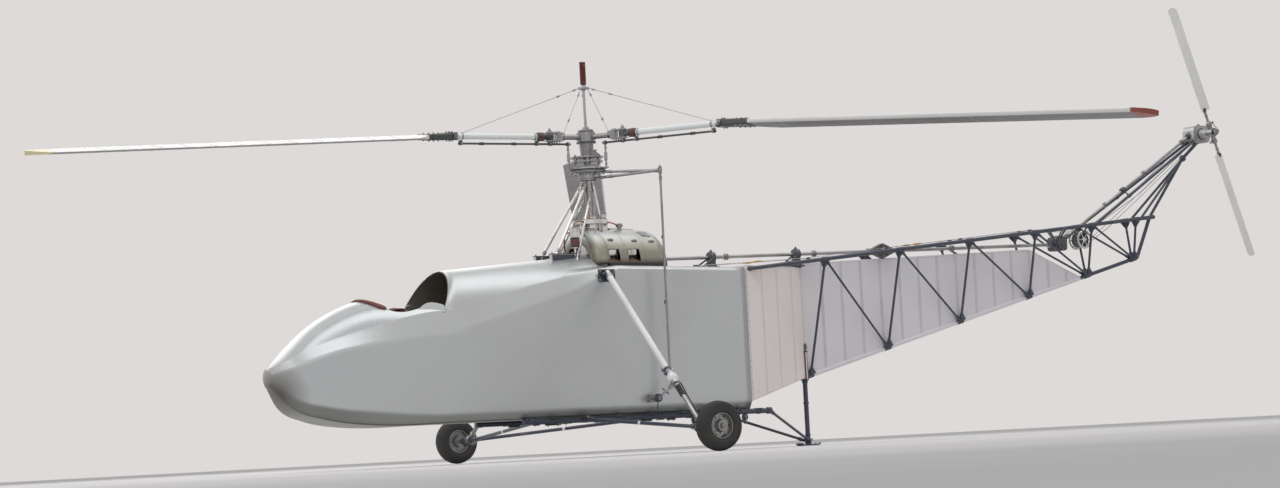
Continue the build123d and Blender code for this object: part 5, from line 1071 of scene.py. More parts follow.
def make_fin_cover():
    """The fin's fabric wrapped round the keel tube, its edge tapes, rib tapes and lacing."""
    wrap, tapes, lacing = Form(), Form(), Form()
    keel_way = (Vector(KEEL_REAR) - Vector(KEEL_FRONT)).normalized()
    start = keel_at(1986)
    wrap.turned(start, keel_way, ((0, 16), (3, 18.6), ((keel_at(FIN_END) - start).length, 18.6),
                                  ((keel_at(FIN_END) - start).length + 3, 16)), 20)
    edge = [(1966, 1452), (4346, 1540), (FIN_END, keel_at(FIN_END).z + 12)]
    wrap.cable([(s, 0, z) for s, z in edge], 7, 10)

    def top_at(station):
        (s0, z0), (s1, z1) = edge[:2] if station < 4346 else edge[1:]
        return z0 + (z1 - z0) * (station - s0) / (s1 - s0)

    station = 2160
    while station < 4800:
        low, high = keel_at(station).z + 14, top_at(station) - 4
        for side in (-1, 1):
            tapes.plate([(station - 14, side * 3.8, low), (station + 14, side * 3.8, low),
                         (station + 14, side * 3.8, high), (station - 14, side * 3.8, high)], (0, side * 1.1, 0))
            z = low + 30
            while z < high - 20:
                lacing.rivet((station, side * 4.8, z), (0, side, 0), 4)
                z += 70
        station += 198
    station = 2040
    while station < 4340:
        z = top_at(station)
        if all(abs(station - s) > 30 for s in BOOM_STATIONS):
            lacing.ring((station, 0, z), (1, 0, 0), 7.6, 1.5, 12, 5)
        station += 66
    wrap.show("fin_wrap", fin_fabric, "silver_fabric", angle=60)
    tapes.show("fin_tapes", tape_fabric, "silver_fabric")
    lacing.show("fin_lacing", tape_fabric, "silver_fabric", angle=60)


def make_wedge_tapes():
    """Tapes on the wedge's edges and ribs, and the lacing down its front edge."""
    tapes, studs = Form(), Form()

    def wall(station, side, z, lift=0.0):
        share = (station - 1158) / (1960 - 1158)
        return Vector((station, side * (380 + (12 - 380) * share + lift), z))

    for side in (-1, 1):
        out = Vector((368, side * 802, 0)).normalized()
        for station in (1172, 1380, 1590, 1800, 1945):
            half = 13 if station in (1172, 1945) else 10
            rows = []
            low = 378 + 176 * (station - 1158) / 802
            for k in range(13):
                z = low + (1404 - low) * k / 12
                place = [wall(station + s, side, z) for s in (-half, half)]
                rows.append([place[0] - out * 0.6, place[0] + out * 1.2, place[1] + out * 1.2, place[1] - out * 0.6])
            tapes.skin(rows)
        for k in range(19):
            studs.rivet(wall(1172, side, 420 + 52 * k) + out * 1.0, out, 5)
            if k > 3:
                studs.rivet(wall(1945, side, 400 + 52 * k) + out * 1.0, out, 4)
        for front_z, rear_z in ((376, 548), (1422, 1422)):
            tapes.cable([wall(1162 + 79 * k, side, front_z + (rear_z - front_z) * k / 10) for k in range(11)], 4, 8)
    tapes.show("wedge_tapes", wedge_tape, "silver_fabric", angle=50)
    studs.show("wedge_studs", oiled_steel, "bare_steel")


def make_drive_fittings():
    """Couplings, bearing caps, the bevel box's flanges, and the tail gearbox's covers."""
    steel, dark, pale = Form(), Form(), Form()
    run = Vector(SHAFT_REAR) - Vector(SHAFT_FRONT)
    way = run.normalized()

    def shaft_at(station):
        return between(SHAFT_FRONT, SHAFT_REAR, station)

    for station in (600, 1230, 2090, 2640, 2940, 3500, 4560):
        steel.turned(shaft_at(station), way, ((0, 14), (2, 26), (10, 26), (11, 20), (19, 20), (20, 26), (28, 26),
                                             (30, 14)), 20)
        for k in range(6):
            turn = math.tau * k / 6
            steel.bolt(shaft_at(station) + way * 10 + Vector((0, 23 * math.cos(turn), 23 * math.sin(turn))), -way, 3,
                       False)
    for station in (1103, 1925):
        middle = shaft_at(station)
        for way_x in (-1, 1):
            dark.turned(middle + Vector((way_x * 22, 0, 0)), (way_x, 0, 0), ((0, 36), (4, 34), (5, 24), (12, 20)), 24)
            for k in range(4):
                turn = math.tau * (k + 0.5) / 4
                steel.bolt(middle + Vector((way_x * 25, 30 * math.cos(turn), 30 * math.sin(turn))), (way_x, 0, 0), 3.4,
                           False)
            for side in (-1, 1):
                steel.bolt((station + way_x * 14, side * 48, 1442), (0, 0, 1), 6)
        dark.box((station, 0, 1436), (70, 130, 12))
        dark.turned(middle + Vector((0, 0, 38)), (0, 0, 1), ((0, 12), (10, 12), (14, 7), (22, 7)), 12)
        for side in (-1, 1):
            dark.rod(middle + Vector((-6, side * 34, -6)), (station - 120, side * 54, 1436), 7)
            dark.box((station - 120, side * 54, 1434), (36, 30, 8))
    joint = shaft_at(2788)
    for side in (-1, 1):
        dark.plate([joint + Vector((s, side * 22, z)) for s, z in ((-150, 0), (0, -62), (150, 0), (0, 62))],
                   (0, side * 3, 0))
        for s, z in ((-112, 0), (112, 0), (0, 42), (0, -42), (-58, 18), (58, 18), (-58, -18), (58, -18)):
            steel.bolt(joint + Vector((s, side * 25, z)), (0, side, 0), 6)
        steel.turned(joint + Vector((0, side * 24, 0)), (0, side, 0), ((0, 24), (5, 22), (8, 12)), 20)
    box = Vector((4660, 0, 1590))
    for side in (-1, 1):
        dark.turned(box + Vector((0, side * 58, 0)), (0, side, 0), ((0, 50), (8, 50), (11, 44), (14, 24), (22, 20)), 28)
        for k in range(8):
            turn = math.tau * k / 8
            steel.bolt(box + Vector((43 * math.cos(turn), side * 65, 43 * math.sin(turn))), (0, side, 0), 4.5)
        dark.rod(box + Vector((30, side * 50, 20)), longeron_at(4830, side), 8)
        dark.rod(box + Vector((-40, side * 50, -30)), longeron_at(4470, side), 8)
    dark.turned(box - way * 74, way, ((0, 26), (4, 40), (20, 40)), 24)
    for z in (-22, 22):
        dark.ring(box + Vector((0, 0, z)), (0, 0, 1), 58, 4, 24)
    steel.box(box + Vector((0, 0, 64)), (50, 60, 10))
    climb = (Vector((6300, 0, 2560)) - box).normalized()
    dark.turned(box + climb * 56, climb, ((0, 40), (16, 40), (20, 26), (44, 20)), 24)
    for near in (120, 640, 1180, 1720):
        steel.turned(box + climb * near, climb, ((0, 12), (2, 23), (9, 23), (10, 17), (18, 17), (19, 23), (26, 23),
                                                 (28, 12)), 20)
    middle = box + climb * 900
    dark.turned(middle - climb * 22, climb, ((0, 15), (3, 26), (41, 26), (44, 15)), 20)
    for side in (-1, 1):
        tube_at = between((5008, 102.6, 1746.8), (6290, 35, 2495), middle.x, side)
        dark.rod(middle, tube_at, 7)
        dark.turned(tube_at - climb * 18, climb, ((0, 13), (3, 17), (33, 17), (36, 13)), 14)
    drum = Vector((4916, 0, 1622))
    for side in (-1, 1):
        rim_at = drum + Vector((0, side * 56, 0))
        pale.ring(rim_at, (0, 1, 0), 74, 5, 40, 8)
        pale.ring(rim_at, (0, 1, 0), 64, 3.5, 40, 6)
        pale.turned(drum + Vector((0, side * 38, 0)), (0, side, 0), ((0, 20), (14, 20), (16, 24), (22, 24), (26, 14),
                                                                    (34, 10)), 20)
        for k in range(6):
            turn = math.tau * k / 6
            pale.rod(rim_at + Vector((18 * math.cos(turn), 0, 18 * math.sin(turn))),
                     rim_at + Vector((70 * math.cos(turn), 0, 70 * math.sin(turn))), 4.5, 3.5, 8)
        for y in (10, 20, 30):
            dark.ring(drum + Vector((0, side * y, 0)), (0, 1, 0), 62, 2.4, 36, 6)
    tail = Vector((6330, 0, 2538))
    dark.turned(tail + Vector((0, 68, 0)), (0, 1, 0), ((0, 58), (8, 56), (14, 40), (22, 16)), 28)
    for k in range(8):
        turn = math.tau * k / 8
        steel.bolt(tail + Vector((49 * math.cos(turn), 75, 49 * math.sin(turn))), (0, 1, 0), 4.5)
        steel.bolt(tail + Vector((49 * math.cos(turn), -69, 49 * math.sin(turn))), (0, -1, 0), 4.5)
    dark.ring(tail + Vector((0, -72, 0)), (0, 1, 0), 45, 4, 30)
    steel.turned(tail + Vector((30, 0, 72)), (0, 0, 1), ((0, 18), (12, 18), (15, 11), (24, 11)), 14)
    dark.turned(Vector((6300, 0, 2560)) - climb * 90, climb, ((0, 16), (4, 30), (30, 34)), 24)
    for side in (-1, 1):
        for near in (-70, -40):
            dark.turned(Vector((6290, side * 35, 2495)) + climb * near, climb,
                        ((0, 13), (2, 18), (14, 18), (16, 13)), 14)
    steel.turned(tail + Vector((0, 88, 0)), (0, 1, 0), ((0, 9), (60, 9), (62, 14), (72, 14)), 14)
    steel.box(tail + Vector((-10, 152, -14)), (12, 10, 64))
    steel.show("drive_fasteners", oiled_steel, "bare_steel")
    dark.show("drive_castings", dark_alloy, "cast_alloy", bevel=1.5)
    pale.show("drum_wheels", polished_alloy, "cast_alloy", angle=50)


def make_control_cables():
    """Two cables from the deck over the cross tubes to the drum, and on up the pylon to the tail gearbox."""
    cables, wheels, turnbuckles = Form(), Form(), Form()
    for side in (-1, 1):
        y = side * 70
        route = [(905, y, 1446), (1995, y, 1497), (2788, y, 1572), (3557, y, 1638), (4306, y, 1706),
                 (4880, side * 44, 1694)]
        cables.cable(route, 2.6, 6)
        cables.cable([(4948, side * 28, 1678), (5560, side * 64, 2010), (6240, side * 58, 2470),
                      (6322, side * 50, 2520)],
                     2.6, 6)
        cables.cable([(4940, side * 22, 1564), (5200, side * 40, 1720), (6230, side * 30, 2420),
                      (6300, side * 40, 2470)],
                     2.6, 6)
        for s, z, under in ((1995, 1497, 1471), (2788, 1572, 1546), (3557, 1638, 1614), (4306, 1706, 1682)):
            wheels.turned((s, y - 7, z - 17), (0, 1, 0), ((0, 19), (3, 19), (5, 14), (9, 14), (11, 19), (14, 19)), 20)
            wheels.box((s, y - 11, (z + under) / 2 - 6), (22, 4, z - under + 20))
            wheels.box((s, y + 11, (z + under) / 2 - 6), (22, 4, z - under + 20))
            wheels.bolt((s, y - 12, z - 17), (0, -1, 0), 4, False)
            wheels.turned((s, y - 16, under), (0, 1, 0), ((0, 9), (2, 13), (30, 13), (32, 9)), 12)
        for near, station in ((0, 1500), (2, 3100)):
            point = between(route[near], route[near + 1], station)
            ahead = (Vector(route[near + 1]) - Vector(route[near])).normalized()
            turnbuckles.turned(point - ahead * 50, ahead, ((0, 2), (6, 5), (20, 5), (24, 8), (76, 8), (80, 5), (94, 5),
                                                            (100, 2)), 8)
        wheels.box((905, y, 1438), (70, 26, 10))
        wheels.turned((884, y, 1446), (1, 0, 0.05), ((0, 5), (2, 8), (40, 8), (42, 5)), 12)
    cables.show("control_cables", oiled_steel, "bare_steel", angle=60)
    wheels.show("cable_pulleys", dark_alloy, "cast_alloy")
    turnbuckles.show("turnbuckles", brass, "bare_steel")


make_boom_joints()
make_fin_cover()
make_wedge_tapes()
make_drive_fittings()
make_control_cables()


# Landing gear
WHEEL_MM = Vector((-200, 1895, 180))
STRUT_TOP = Vector((-120, 392, 1385))
STRUT_FOOT = Vector((-200, 1690, 180))
BELLY_Z, BELLY_Y = 290, 352


def mirrored(point, side):
    return Vector((point[0], side * point[1], point[2]))


AXLE_BORE = 24
SKID_STATION = 1945


def make_wheels():
    """Grooved tyres, hub caps, rim bolts and valve stems."""
    section = [(65, 118), (66, 124), (64.5, 137), (60, 150), (55, 159), (51.5, 162.5), (48, 165)]
    section += [(47, 163.5), (44, 164), (42, 169), (33, 174), (32, 170), (28, 170.5), (27, 175.5), (14, 178.6),
                (13, 174), (9, 174), (8, 179.4), (0, 180)]
    section += [(-y, radius) for y, radius in section[-2::-1]]
    inside = [(-60, 108), (-56, 99), (-44, 95), (-40, 92.5), (40, 92.5), (44, 95), (56, 99), (60, 108)]
    loop = section + inside
    for name, side in SIDES:
        tyre, metal, dark = Form(), Form(), Form()
        centre = mirrored(WHEEL_MM, side)
        turns = 80
        loops = []
        for k in range(turns + 1):
            turn = math.tau * k / turns
            loops.append([centre + Vector((radius * math.sin(turn), y, -radius * math.cos(turn)))
                          for y, radius in loop])
        tyre.skin(loops, capped=False)
        for k in range(turns):
            turn = math.tau * (k + 0.5) / turns
            for way in (-1, 1):
                ray = Vector((math.sin(turn), 0, -math.cos(turn)))
                tyre.box(centre + ray * 158 + Vector((0, way * 56, 0)), (9, 5, 5),
                         (ray * 0.8) + Vector((0, -way * 0.6, 0)), Vector((0, way, 0)) + ray)
        for radius, reach in ((141, 63.6), (128, 65.6)):
            for way in (-1, 1):
                tyre.ring(centre + Vector((0, way * reach, 0)), (0, 1, 0), radius, 1.6, 72, 5)
        out = Vector((0, side, 0))
        metal.ring(centre + out * 45, out, 90, 4, 56, 8)
        metal.ring(centre - out * 45, out, 90, 4, 56, 8)
        for way in (-1, 1):
            metal.sleeve(centre + out * 14 * way, out * way,
                         ((0, 66), (3, 64), (4, 50), (12, 46), (30, 42), (40, 40)), AXLE_BORE, 32)
        metal.sleeve(centre + out * 54, out, ((0, 36), (4, 36), (5, 33)), AXLE_BORE, 24)
        for k in range(8):
            turn = math.tau * k / 8
            spot = Vector((57 * math.sin(turn), 0, 57 * math.cos(turn)))
            metal.bolt(centre + spot + out * 16, out, 5.5)
            metal.bolt(centre + spot - out * 16, -out, 5.5)
        for k in range(6):
            turn = math.tau * (k + 0.5) / 6
            dark.turned(centre + Vector((72 * math.sin(turn), side * 14.5, 72 * math.cos(turn))), out,
                        ((0, 8), (0.6, 8)), 16)
        dark.turned(centre + Vector((0, side * 18, -84)), Vector((0, side, 0.45)),
                    ((0, 4.5), (22, 4.5), (24, 6), (34, 6), (36, 4)), 10)
        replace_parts(tyre.show(f"tyre_{name}_tread", tyre_rubber, "tyre", f"wheel_{name}", angle=28), f"tyre_{name}")
        metal.show(f"rim_{name}_trim", rim_alloy, "rim_metal", f"wheel_{name}", bevel=0.5)
        dark.show(f"rim_{name}_valve", hose_black, "tyre", f"wheel_{name}")


def make_strut_fittings():
    """Head brackets, clamps, the white reservoir, boots and rod ends of the struts and drag tubes."""
    steel, dark, white, boots = Form(), Form(), Form(), Form()
    for name, side in SIDES:
        head, foot = mirrored(STRUT_TOP, side), mirrored(STRUT_FOOT, side)
        run = (foot - head).normalized()
        out = Vector((0, side, 0))
        dark.box((-120, side * 383, 1362), (150, 8, 96))
        for s in (-62, 62):
            for z in (-34, 34):
                steel.bolt((-120 + s, side * 386, 1362 + z), out, 7)
        for s in (-29, 29):
            dark.plate([(-120 + s - 4, side * 384, 1340), (-120 + s - 4, side * 384, 1400),
                        (-120 + s - 4, side * 420, 1392), (-120 + s - 4, side * 424, 1356)], (8, 0, 0))
        steel.turned(head + run * 14 - Vector((42, 0, 0)), (1, 0, 0), ((0, 9), (84, 9)), 12)
        for way in (-1, 1):
            steel.bolt(head + run * 14 + Vector((way * 36, 0, 0)), (way, 0, 0), 9)
        steel.turned(head + run * 22, run, ((0, 24), (3, 27), (34, 27), (38, 24)), 24)
        white.turned(head + run * 60, run, ((0, 24), (6, 25.6), (16, 25.6), (22, 24)), 24)
        for near in (400, 760):
            white.turned(head + run * near, run, ((0, 24), (3, 25.2), (17, 25.2), (20, 24)), 24)
        for near in (1128, 1166):
            dark.turned(head + run * near, run, ((0, 24), (2, 30), (24, 30), (26, 24)), 24)
            lug = head + run * (near + 13) - Vector((34, 0, 0))
            dark.box(lug, (26, 14, 22), (1, 0, 0), run)
            steel.bolt(lug + Vector((-2, -side * 8, -5)), Vector((0, -side, -1)), 5)
        white.turned(head + run * 1196, run, ((0, 24), (6, 33), (20, 40), (38, 42), (56, 40), (70, 34), (80, 24)), 28)
        steel.turned(head + run * 1284, run, ((0, 32), (4, 36), (18, 36), (22, 20), (40, 19)), 24)
        for k in range(6):
            near = 1326 + 17 * k
            boots.turned(head + run * near, run, ((0, 16), (4, 21), (9, 22.5), (13, 21), (17, 16)), 20)
        steel.turned(foot - run * 92, run, ((0, 15), (4, 22), (52, 24), (56, 30), (70, 34)), 20)
        steel.rod(head + run * 1140 + Vector((30, 0, 0)), head + run * 1300 + Vector((40, 0, 10)), 5)
        for near in (1146, 1290):
            steel.box(head + run * near + Vector((30, 0, 2)), (26, 14, 14), (1, 0, 0), run)
        boots.cable([head + run * 1290 + Vector((38, 0, 8)), head + run * 1330 + Vector((60, -side * 20, -6)),
                     head + run * 1420 + Vector((58, -side * 30, -4)), head + run * 1540 + Vector((28, -side * 4, 10)),
                     foot + Vector((24, -side * 20, 30))], 5, 8)
        for y in (1636, 1752):
            dark.turned((-200, side * (y - 5), 180), (0, side, 0), ((0, 36), (2, 40), (10, 40), (12, 36)), 28)
        for k in range(6):
            turn = math.tau * k / 6
            steel.bolt((-200 + 26 * math.cos(turn), side * 1630, 180 + 26 * math.sin(turn)), (0, -side, 0), 5)
        steel.turned((-200, side * 1758, 180), (0, side, 0), ((0, 30), (10, 30), (14, 22), (68, 20)), 24)
        steel.turned((-200, side * 1968, 180), (0, side, 0), ((0, 20), (5, 20), (7, 14), (14, 14)), 6)
        for station, offset in ((-360, -30), (790, 45)):
            hub = Vector((-200, side * (1690 + offset), 180))
            end = Vector((station, side * BELLY_Y, BELLY_Z))
            way = (end - hub).normalized()
            length = (end - hub).length
            dark.turned(hub + way * 34, way, ((0, 20), (6, 20), (10, 19), (70, 17), (74, 14)), 18)
            for near in (52, 84):
                steel.bolt(hub + way * near + Vector((0, 0, 17)), (0, 0, 1), 5)
                steel.bolt(hub + way * near - Vector((0, 0, 17)), (0, 0, -1), 5)
            dark.turned(hub + way * (length - 90), way, ((0, 14), (4, 17), (48, 17), (60, 12)), 18)
            dark.turned(end + way * -4 - Vector((26, 0, 0)), (1, 0, 0), ((0, 25), (3, 28), (49, 28), (52, 25)), 24)
            steel.bolt(end - way * 40 + Vector((0, 0, 15)), (0, 0, 1), 8)
            steel.bolt(end - way * 40 - Vector((0, 0, 15)), (0, 0, -1), 8)
            white.turned(hub + way * length * 0.5, way, ((0, 14), (2, 15.2), (24, 15.2), (26, 14)), 16)
    steel.show("gear_fasteners", oiled_steel, "bare_steel")
    dark.show("gear_brackets", navy_tube, "dark_tube", bevel=1.2)
    white.show("strut_reservoirs", strut_white, "strut_white", angle=40)
    boots.show("strut_boots", hose_black, "tyre", angle=50)


def make_belly_fittings():
    """Straps, pads and end caps along the belly tubes, with the pipes that run beside them."""
    dark, steel, pipes = Form(), Form(), Form()
    for name, side in SIDES:
        for station in (-860, -640, -360, -60, 230, 520, 790, 1040, 1230):
            dark.turned((station - 17, side * BELLY_Y, BELLY_Z), (1, 0, 0),
                        ((0, 20), (2, 23.5), (32, 23.5), (34, 20)), 20)
            dark.box((station, side * 352, 309), (52, 62, 8))
            for s in (-20, 20):
                steel.bolt((station + s, side * 378, 306), (0, side, -0.6), 4.5)
        for station, length in ((-560, 90), (-210, 130), (640, 110), (880, 70)):
            dark.box((station, side * (BELLY_Y + 4), BELLY_Z - 22), (length, 30, 18))
            for s in (-length * 0.35, length * 0.35):
                steel.bolt((station + s, side * (BELLY_Y + 4), BELLY_Z - 31), (0, 0, -1), 5)
        pipes.cable([(-820, side * 380, 318), (-700, side * 384, 306), (-300, side * 384, 302), (160, side * 383, 304),
                     (700, side * 383, 303), (980, side * 380, 316)], 5, 8)
        dark.turned((1356, side * BELLY_Y, BELLY_Z), (-1, 0, 0), ((0, 10), (4, 22), (10, 26), (44, 26), (48, 20)), 24)
        dark.turned((1100, side * 345, 248), (0, side, 0),
                    ((0, 27), (2, 27), (2.1, 17), (12, 17), (12.1, 27), (14, 27)), 24)
        steel.turned((1100, side * 340, 248), (0, side, 0), ((0, 9), (26, 9)), 14)
        steel.bolt((1100, side * 362, 248), (0, side, 0), 8)
        steel.ring((1100, side * 352, 218), (1, 0, 0), 20, 4.5, 24, 8)
        run = Vector((1945, side * 20, 36)) - Vector((1338, side * 352, 290))
        way = run.normalized()
        for near in (0.05, 0.90):
            dark.turned(Vector((1338, side * 352, 290)) + run * near, way, ((0, 11), (4, 15), (34, 15), (38, 11)), 16)
        steel.bolt(Vector((1338, side * 352, 290)) + way * 32 + Vector((0, 0, 12)), (0, 0, 1), 6)
    dark.show("belly_straps", navy_tube, "dark_tube", bevel=1.0)
    steel.show("belly_fasteners", oiled_steel, "bare_steel")
    pipes.show("belly_pipes", hose_black, "tyre", angle=60)


def make_skid_fittings():
    """The shock unit's cord wraps, end knobs, guide rods, and the skid foot's wear plate."""
    cords, steel, dark, pale = Form(), Form(), Form(), Form()
    for k in range(21):
        cords.ring((SKID_STATION, 0, 532 + 10.2 * k), (0.05, 0, 1), 25.5, 5.2, 20, 6)
    dark.turned((SKID_STATION, 0, 516), (0, 0, 1), ((0, 22), (4, 34), (14, 34), (16, 27)), 24)
    dark.turned((SKID_STATION, 0, 742), (0, 0, 1), ((0, 27), (2, 34), (12, 34), (18, 20), (28, 16)), 24)
    dark.turned((SKID_STATION, -26, 790), (0, 1, 0), ((0, 12), (4, 24), (10, 28), (42, 28), (48, 24), (52, 12)), 24)
    steel.bolt((SKID_STATION, -26, 790), (0, -1, 0), 9)
    steel.bolt((SKID_STATION, 26, 790), (0, 1, 0), 9)
    for side in (-1, 1):
        pale.rod((SKID_STATION, side * 36, 524), (SKID_STATION, side * 36, 752), 4.5)
        for z in (524, 746):
            steel.bolt((SKID_STATION, side * 36, z), (0, 0, 1 if z > 600 else -1), 5)
        dark.box((SKID_STATION, side * 30, 523), (20, 26, 10))
        dark.box((SKID_STATION, side * 30, 750), (20, 26, 10))
    for z in (76, 330, 496):
        dark.turned((SKID_STATION, 0, z), (0, 0, 1), ((0, 19), (2, 23), (18, 23), (20, 19)), 20)
    dark.box((SKID_STATION, 0, 46), (44, 66, 20))
    steel.turned((SKID_STATION, -44, 46), (0, 1, 0), ((0, 8), (88, 8)), 12)
    for side in (-1, 1):
        steel.bolt((SKID_STATION, side * 36, 46), (0, side, 0), 8)
        for s in (-48, 48):
            steel.bolt((SKID_STATION + s, side * 28, 9), (0, 0, 1), 6)
    steel.show("skid_fasteners", oiled_steel, "bare_steel")
    dark.show("skid_castings", navy_tube, "dark_tube", bevel=1.0)
    cords.show("shock_cords", shock_cord, "shock_red", angle=60)
    pale.show("shock_guides", strut_white, "strut_white")


make_wheels()
make_strut_fittings()
make_belly_fittings()
make_skid_fittings()


# Taut skins over the body's frames, columns: station, belly half and z, chine half and z, side half and z,
# ridge half and z, top z
SKIN_ROWS = (
    (-2790, 40, 615, 70, 650, 80, 705, 60, 745, 765),
    (-2670, 120, 465, 185, 530, 200, 755, 150, 830, 880),
    (-2440, 200, 370, 275, 455, 288, 840, 222, 920, 1062),
    (-2100, 280, 315, 338, 410, 338, 900, 272, 1020, 1215),
    (-1500, 340, 305, 380, 370, 380, 955, 335, 1130, 1270),
)
DECK_ROWS = (
    (-1500, 340, 305, 380, 370, 380, 955, 335, 1130, 1430),
    (-450, 340, 305, 380, 370, 380, 1240, 330, 1370, 1515),
    (0, 340, 305, 380, 370, 380, 1415, 345, 1440, 1465),
    (1158, 340, 305, 380, 370, 380, 1390, 345, 1412, 1425),
)


OPENING_FRONT, OPENING_CENTRE, OPENING_HALF = -2040, -1760, 285
OPENING_REACH = OPENING_CENTRE - OPENING_FRONT
ARCH_STATION, REAR_STATION = -1500, 1158
SKIN_THICKNESS, LINING_INSET = 10, 11.5


def row_at(rows, station, curved=False):
    """The section's sizes at a station, on straight or curved lines between the rows."""
    index = next((k for k in range(1, len(rows) - 1) if station <= rows[k][0]), len(rows) - 1)
    low, high = rows[index - 1], rows[index]
    gap = high[0] - low[0]
    share = (station - low[0]) / gap
    made = []
    for column in range(1, len(low)):
        a, b = low[column], high[column]
        if not curved:
            made.append(a + (b - a) * share)
            continue
        slope = (b - a) / gap
        before = slope if index == 1 else (slope + (a - rows[index - 2][column]) / (low[0] - rows[index - 2][0])) / 2
        after = (slope + (rows[index + 1][column] - b) / (rows[index + 1][0] - high[0])) / 2 if (
            index < len(rows) - 1) else 0.02 if column < 9 else slope * 0.8
        if index == 1:
            before = 1.5 * slope - 0.5 * after
        square, cube = share**2, share**3
        made.append(a * (2 * cube - 3 * square + 1) + before * gap * (cube - 2 * square + share)
                    + b * (3 * square - 2 * cube) + after * gap * (cube - square))
    return made


def section(row, edge=0.0, inset=0.0):
    """Half of a section from the belly's middle to the arch's top or an opening's edge, as (y, z) points."""
    belly_y, belly_z, chine_y, chine_z, side_y, side_z, ridge_y, ridge_z, top_z = row
    radius = (ridge_y**2 + (top_z - ridge_z) ** 2) / (2 * (top_z - ridge_z))
    reach = math.asin(min(ridge_y / radius, 1.0))
    edge_turn = math.asin(min(edge / radius, 1.0))

    def arch(turn):
        return Vector((radius * math.sin(turn), top_z - radius + radius * math.cos(turn)))

    corners = [Vector((0, belly_z)), Vector((belly_y, belly_z)), Vector((chine_y, chine_z)), Vector((side_y, side_z)),
               Vector((ridge_y, ridge_z)), arch(reach + (edge_turn - reach) / 12)]
    points = []
    for k, count in enumerate((5, 3, 16, 6, 0)):
        start, end = corners[k], corners[k + 1]
        run = end - start
        if k:
            back = min(16.0, (start - corners[k - 1]).length * 0.3) * (start - corners[k - 1]).normalized()
            ahead = min(16.0, run.length * 0.3) * run.normalized()
            a, b = start - back, start + ahead
            for t in (0.0, 0.25, 0.5, 0.75, 1.0):
                points.append(a * (1 - t) ** 2 + start * 2 * t * (1 - t) + b * t**2)
            start = b
        else:
            points.append(start)
        stop = end - run.normalized() * min(16.0, run.length * 0.3)
        points.extend(start + (stop - start) * (n + 1) / (count + 1) for n in range(count))
    points.extend(arch(reach + (edge_turn - reach) * n / 12) for n in range(1, 13))
    if inset:
        centre = Vector((0, (belly_z + top_z) / 2))
        points = [centre + (p - centre) * (1 - inset / max((p - centre).length, 1)) for p in points]
    return points


def opening_edge(station):
    """Half the opening's width at a station of the nose."""
    if station <= OPENING_FRONT:
        return 0.0
    return OPENING_HALF * math.sqrt(max(0.0, 1 - (min(station - OPENING_CENTRE, 0) / OPENING_REACH) ** 2))


def body_skin(name, stretches, material, thickness, angle=62):
    """A skin on both sides of the centre plane. Each stretch is a list of rows of points."""
    data = bpy.data.meshes.new(name)
    points, faces = [], []
    for rows in stretches:
        for side in (-1, 1):
            start, count = len(points), len(rows[0])
            for row in rows:
                points.extend((MAST_X + s / 1000, side * y / 1000, z / 1000) for s, y, z in row)
            for r in range(len(rows) - 1):
                for k in range(count - 1):
                    a, b = start + r * count + k, start + (r + 1) * count + k
                    faces.append((a, a + 1, b + 1, b) if side > 0 else (a, b, b + 1, a + 1))
    data.from_pydata(points, [], faces)
    piece = settle(name, data, material, "airframe", angle, evened=False, weld=0.0002)
    if thickness:
        depth = piece.modifiers.new("depth", "SOLIDIFY")
        depth.thickness, depth.offset = thickness / 1000, -1
    return piece


def nose_rows(inset=0.0, front=-2790):
    """Rows of the nose, from its rounded tip to the arch."""
    stations = [-2790 + 9 * k for k in range(14)] + [-2670 + 23 * k for k in range(1, 11)]
    stations += [-2440 + 34 * k for k in range(1, 11)] + [-2100 + 20 * k for k in range(1, 3)]
    stations += [OPENING_FRONT + OPENING_REACH * (1 - math.cos(math.radians(90 * k / 11))) for k in range(12)]
    stations += [OPENING_CENTRE + 26 * k for k in range(1, 11)]
    rows = []
    for station in stations:
        if station < front:
            continue
        flat = section(row_at(SKIN_ROWS, station, True), opening_edge(station), inset)
        rows.append([(station, p.x, p.y) for p in flat])
    return rows


def deck_rows(inset=0.0, rear=REAR_STATION):
    """Rows of the deck and rear body, from the raked arch to the boom."""
    columns = section(row_at(DECK_ROWS, ARCH_STATION), 0.0, inset)
    shares = [k / 14 for k in range(15)]
    rows = []
    for share in shares:
        row = []
        for k in range(len(columns)):
            first = float(ARCH_STATION)
            for _ in range(4):
                z = section(row_at(DECK_ROWS, first), 0.0, inset)[k].y
                first = ARCH_STATION + 0.48 * max(0.0, z - 1150)
            station = first + share * (-450 - first)
            p = section(row_at(DECK_ROWS, station), 0.0, inset)[k]
            row.append((station, p.x, p.y))
        rows.append(row)
    for station in [-450 + 45 * k for k in range(1, 11)] + [1158 * k / 12 for k in range(1, 13)]:
        if station <= rear:
            rows.append([(station, p.x, p.y) for p in section(row_at(DECK_ROWS, station), 0.0, inset)])
    return rows


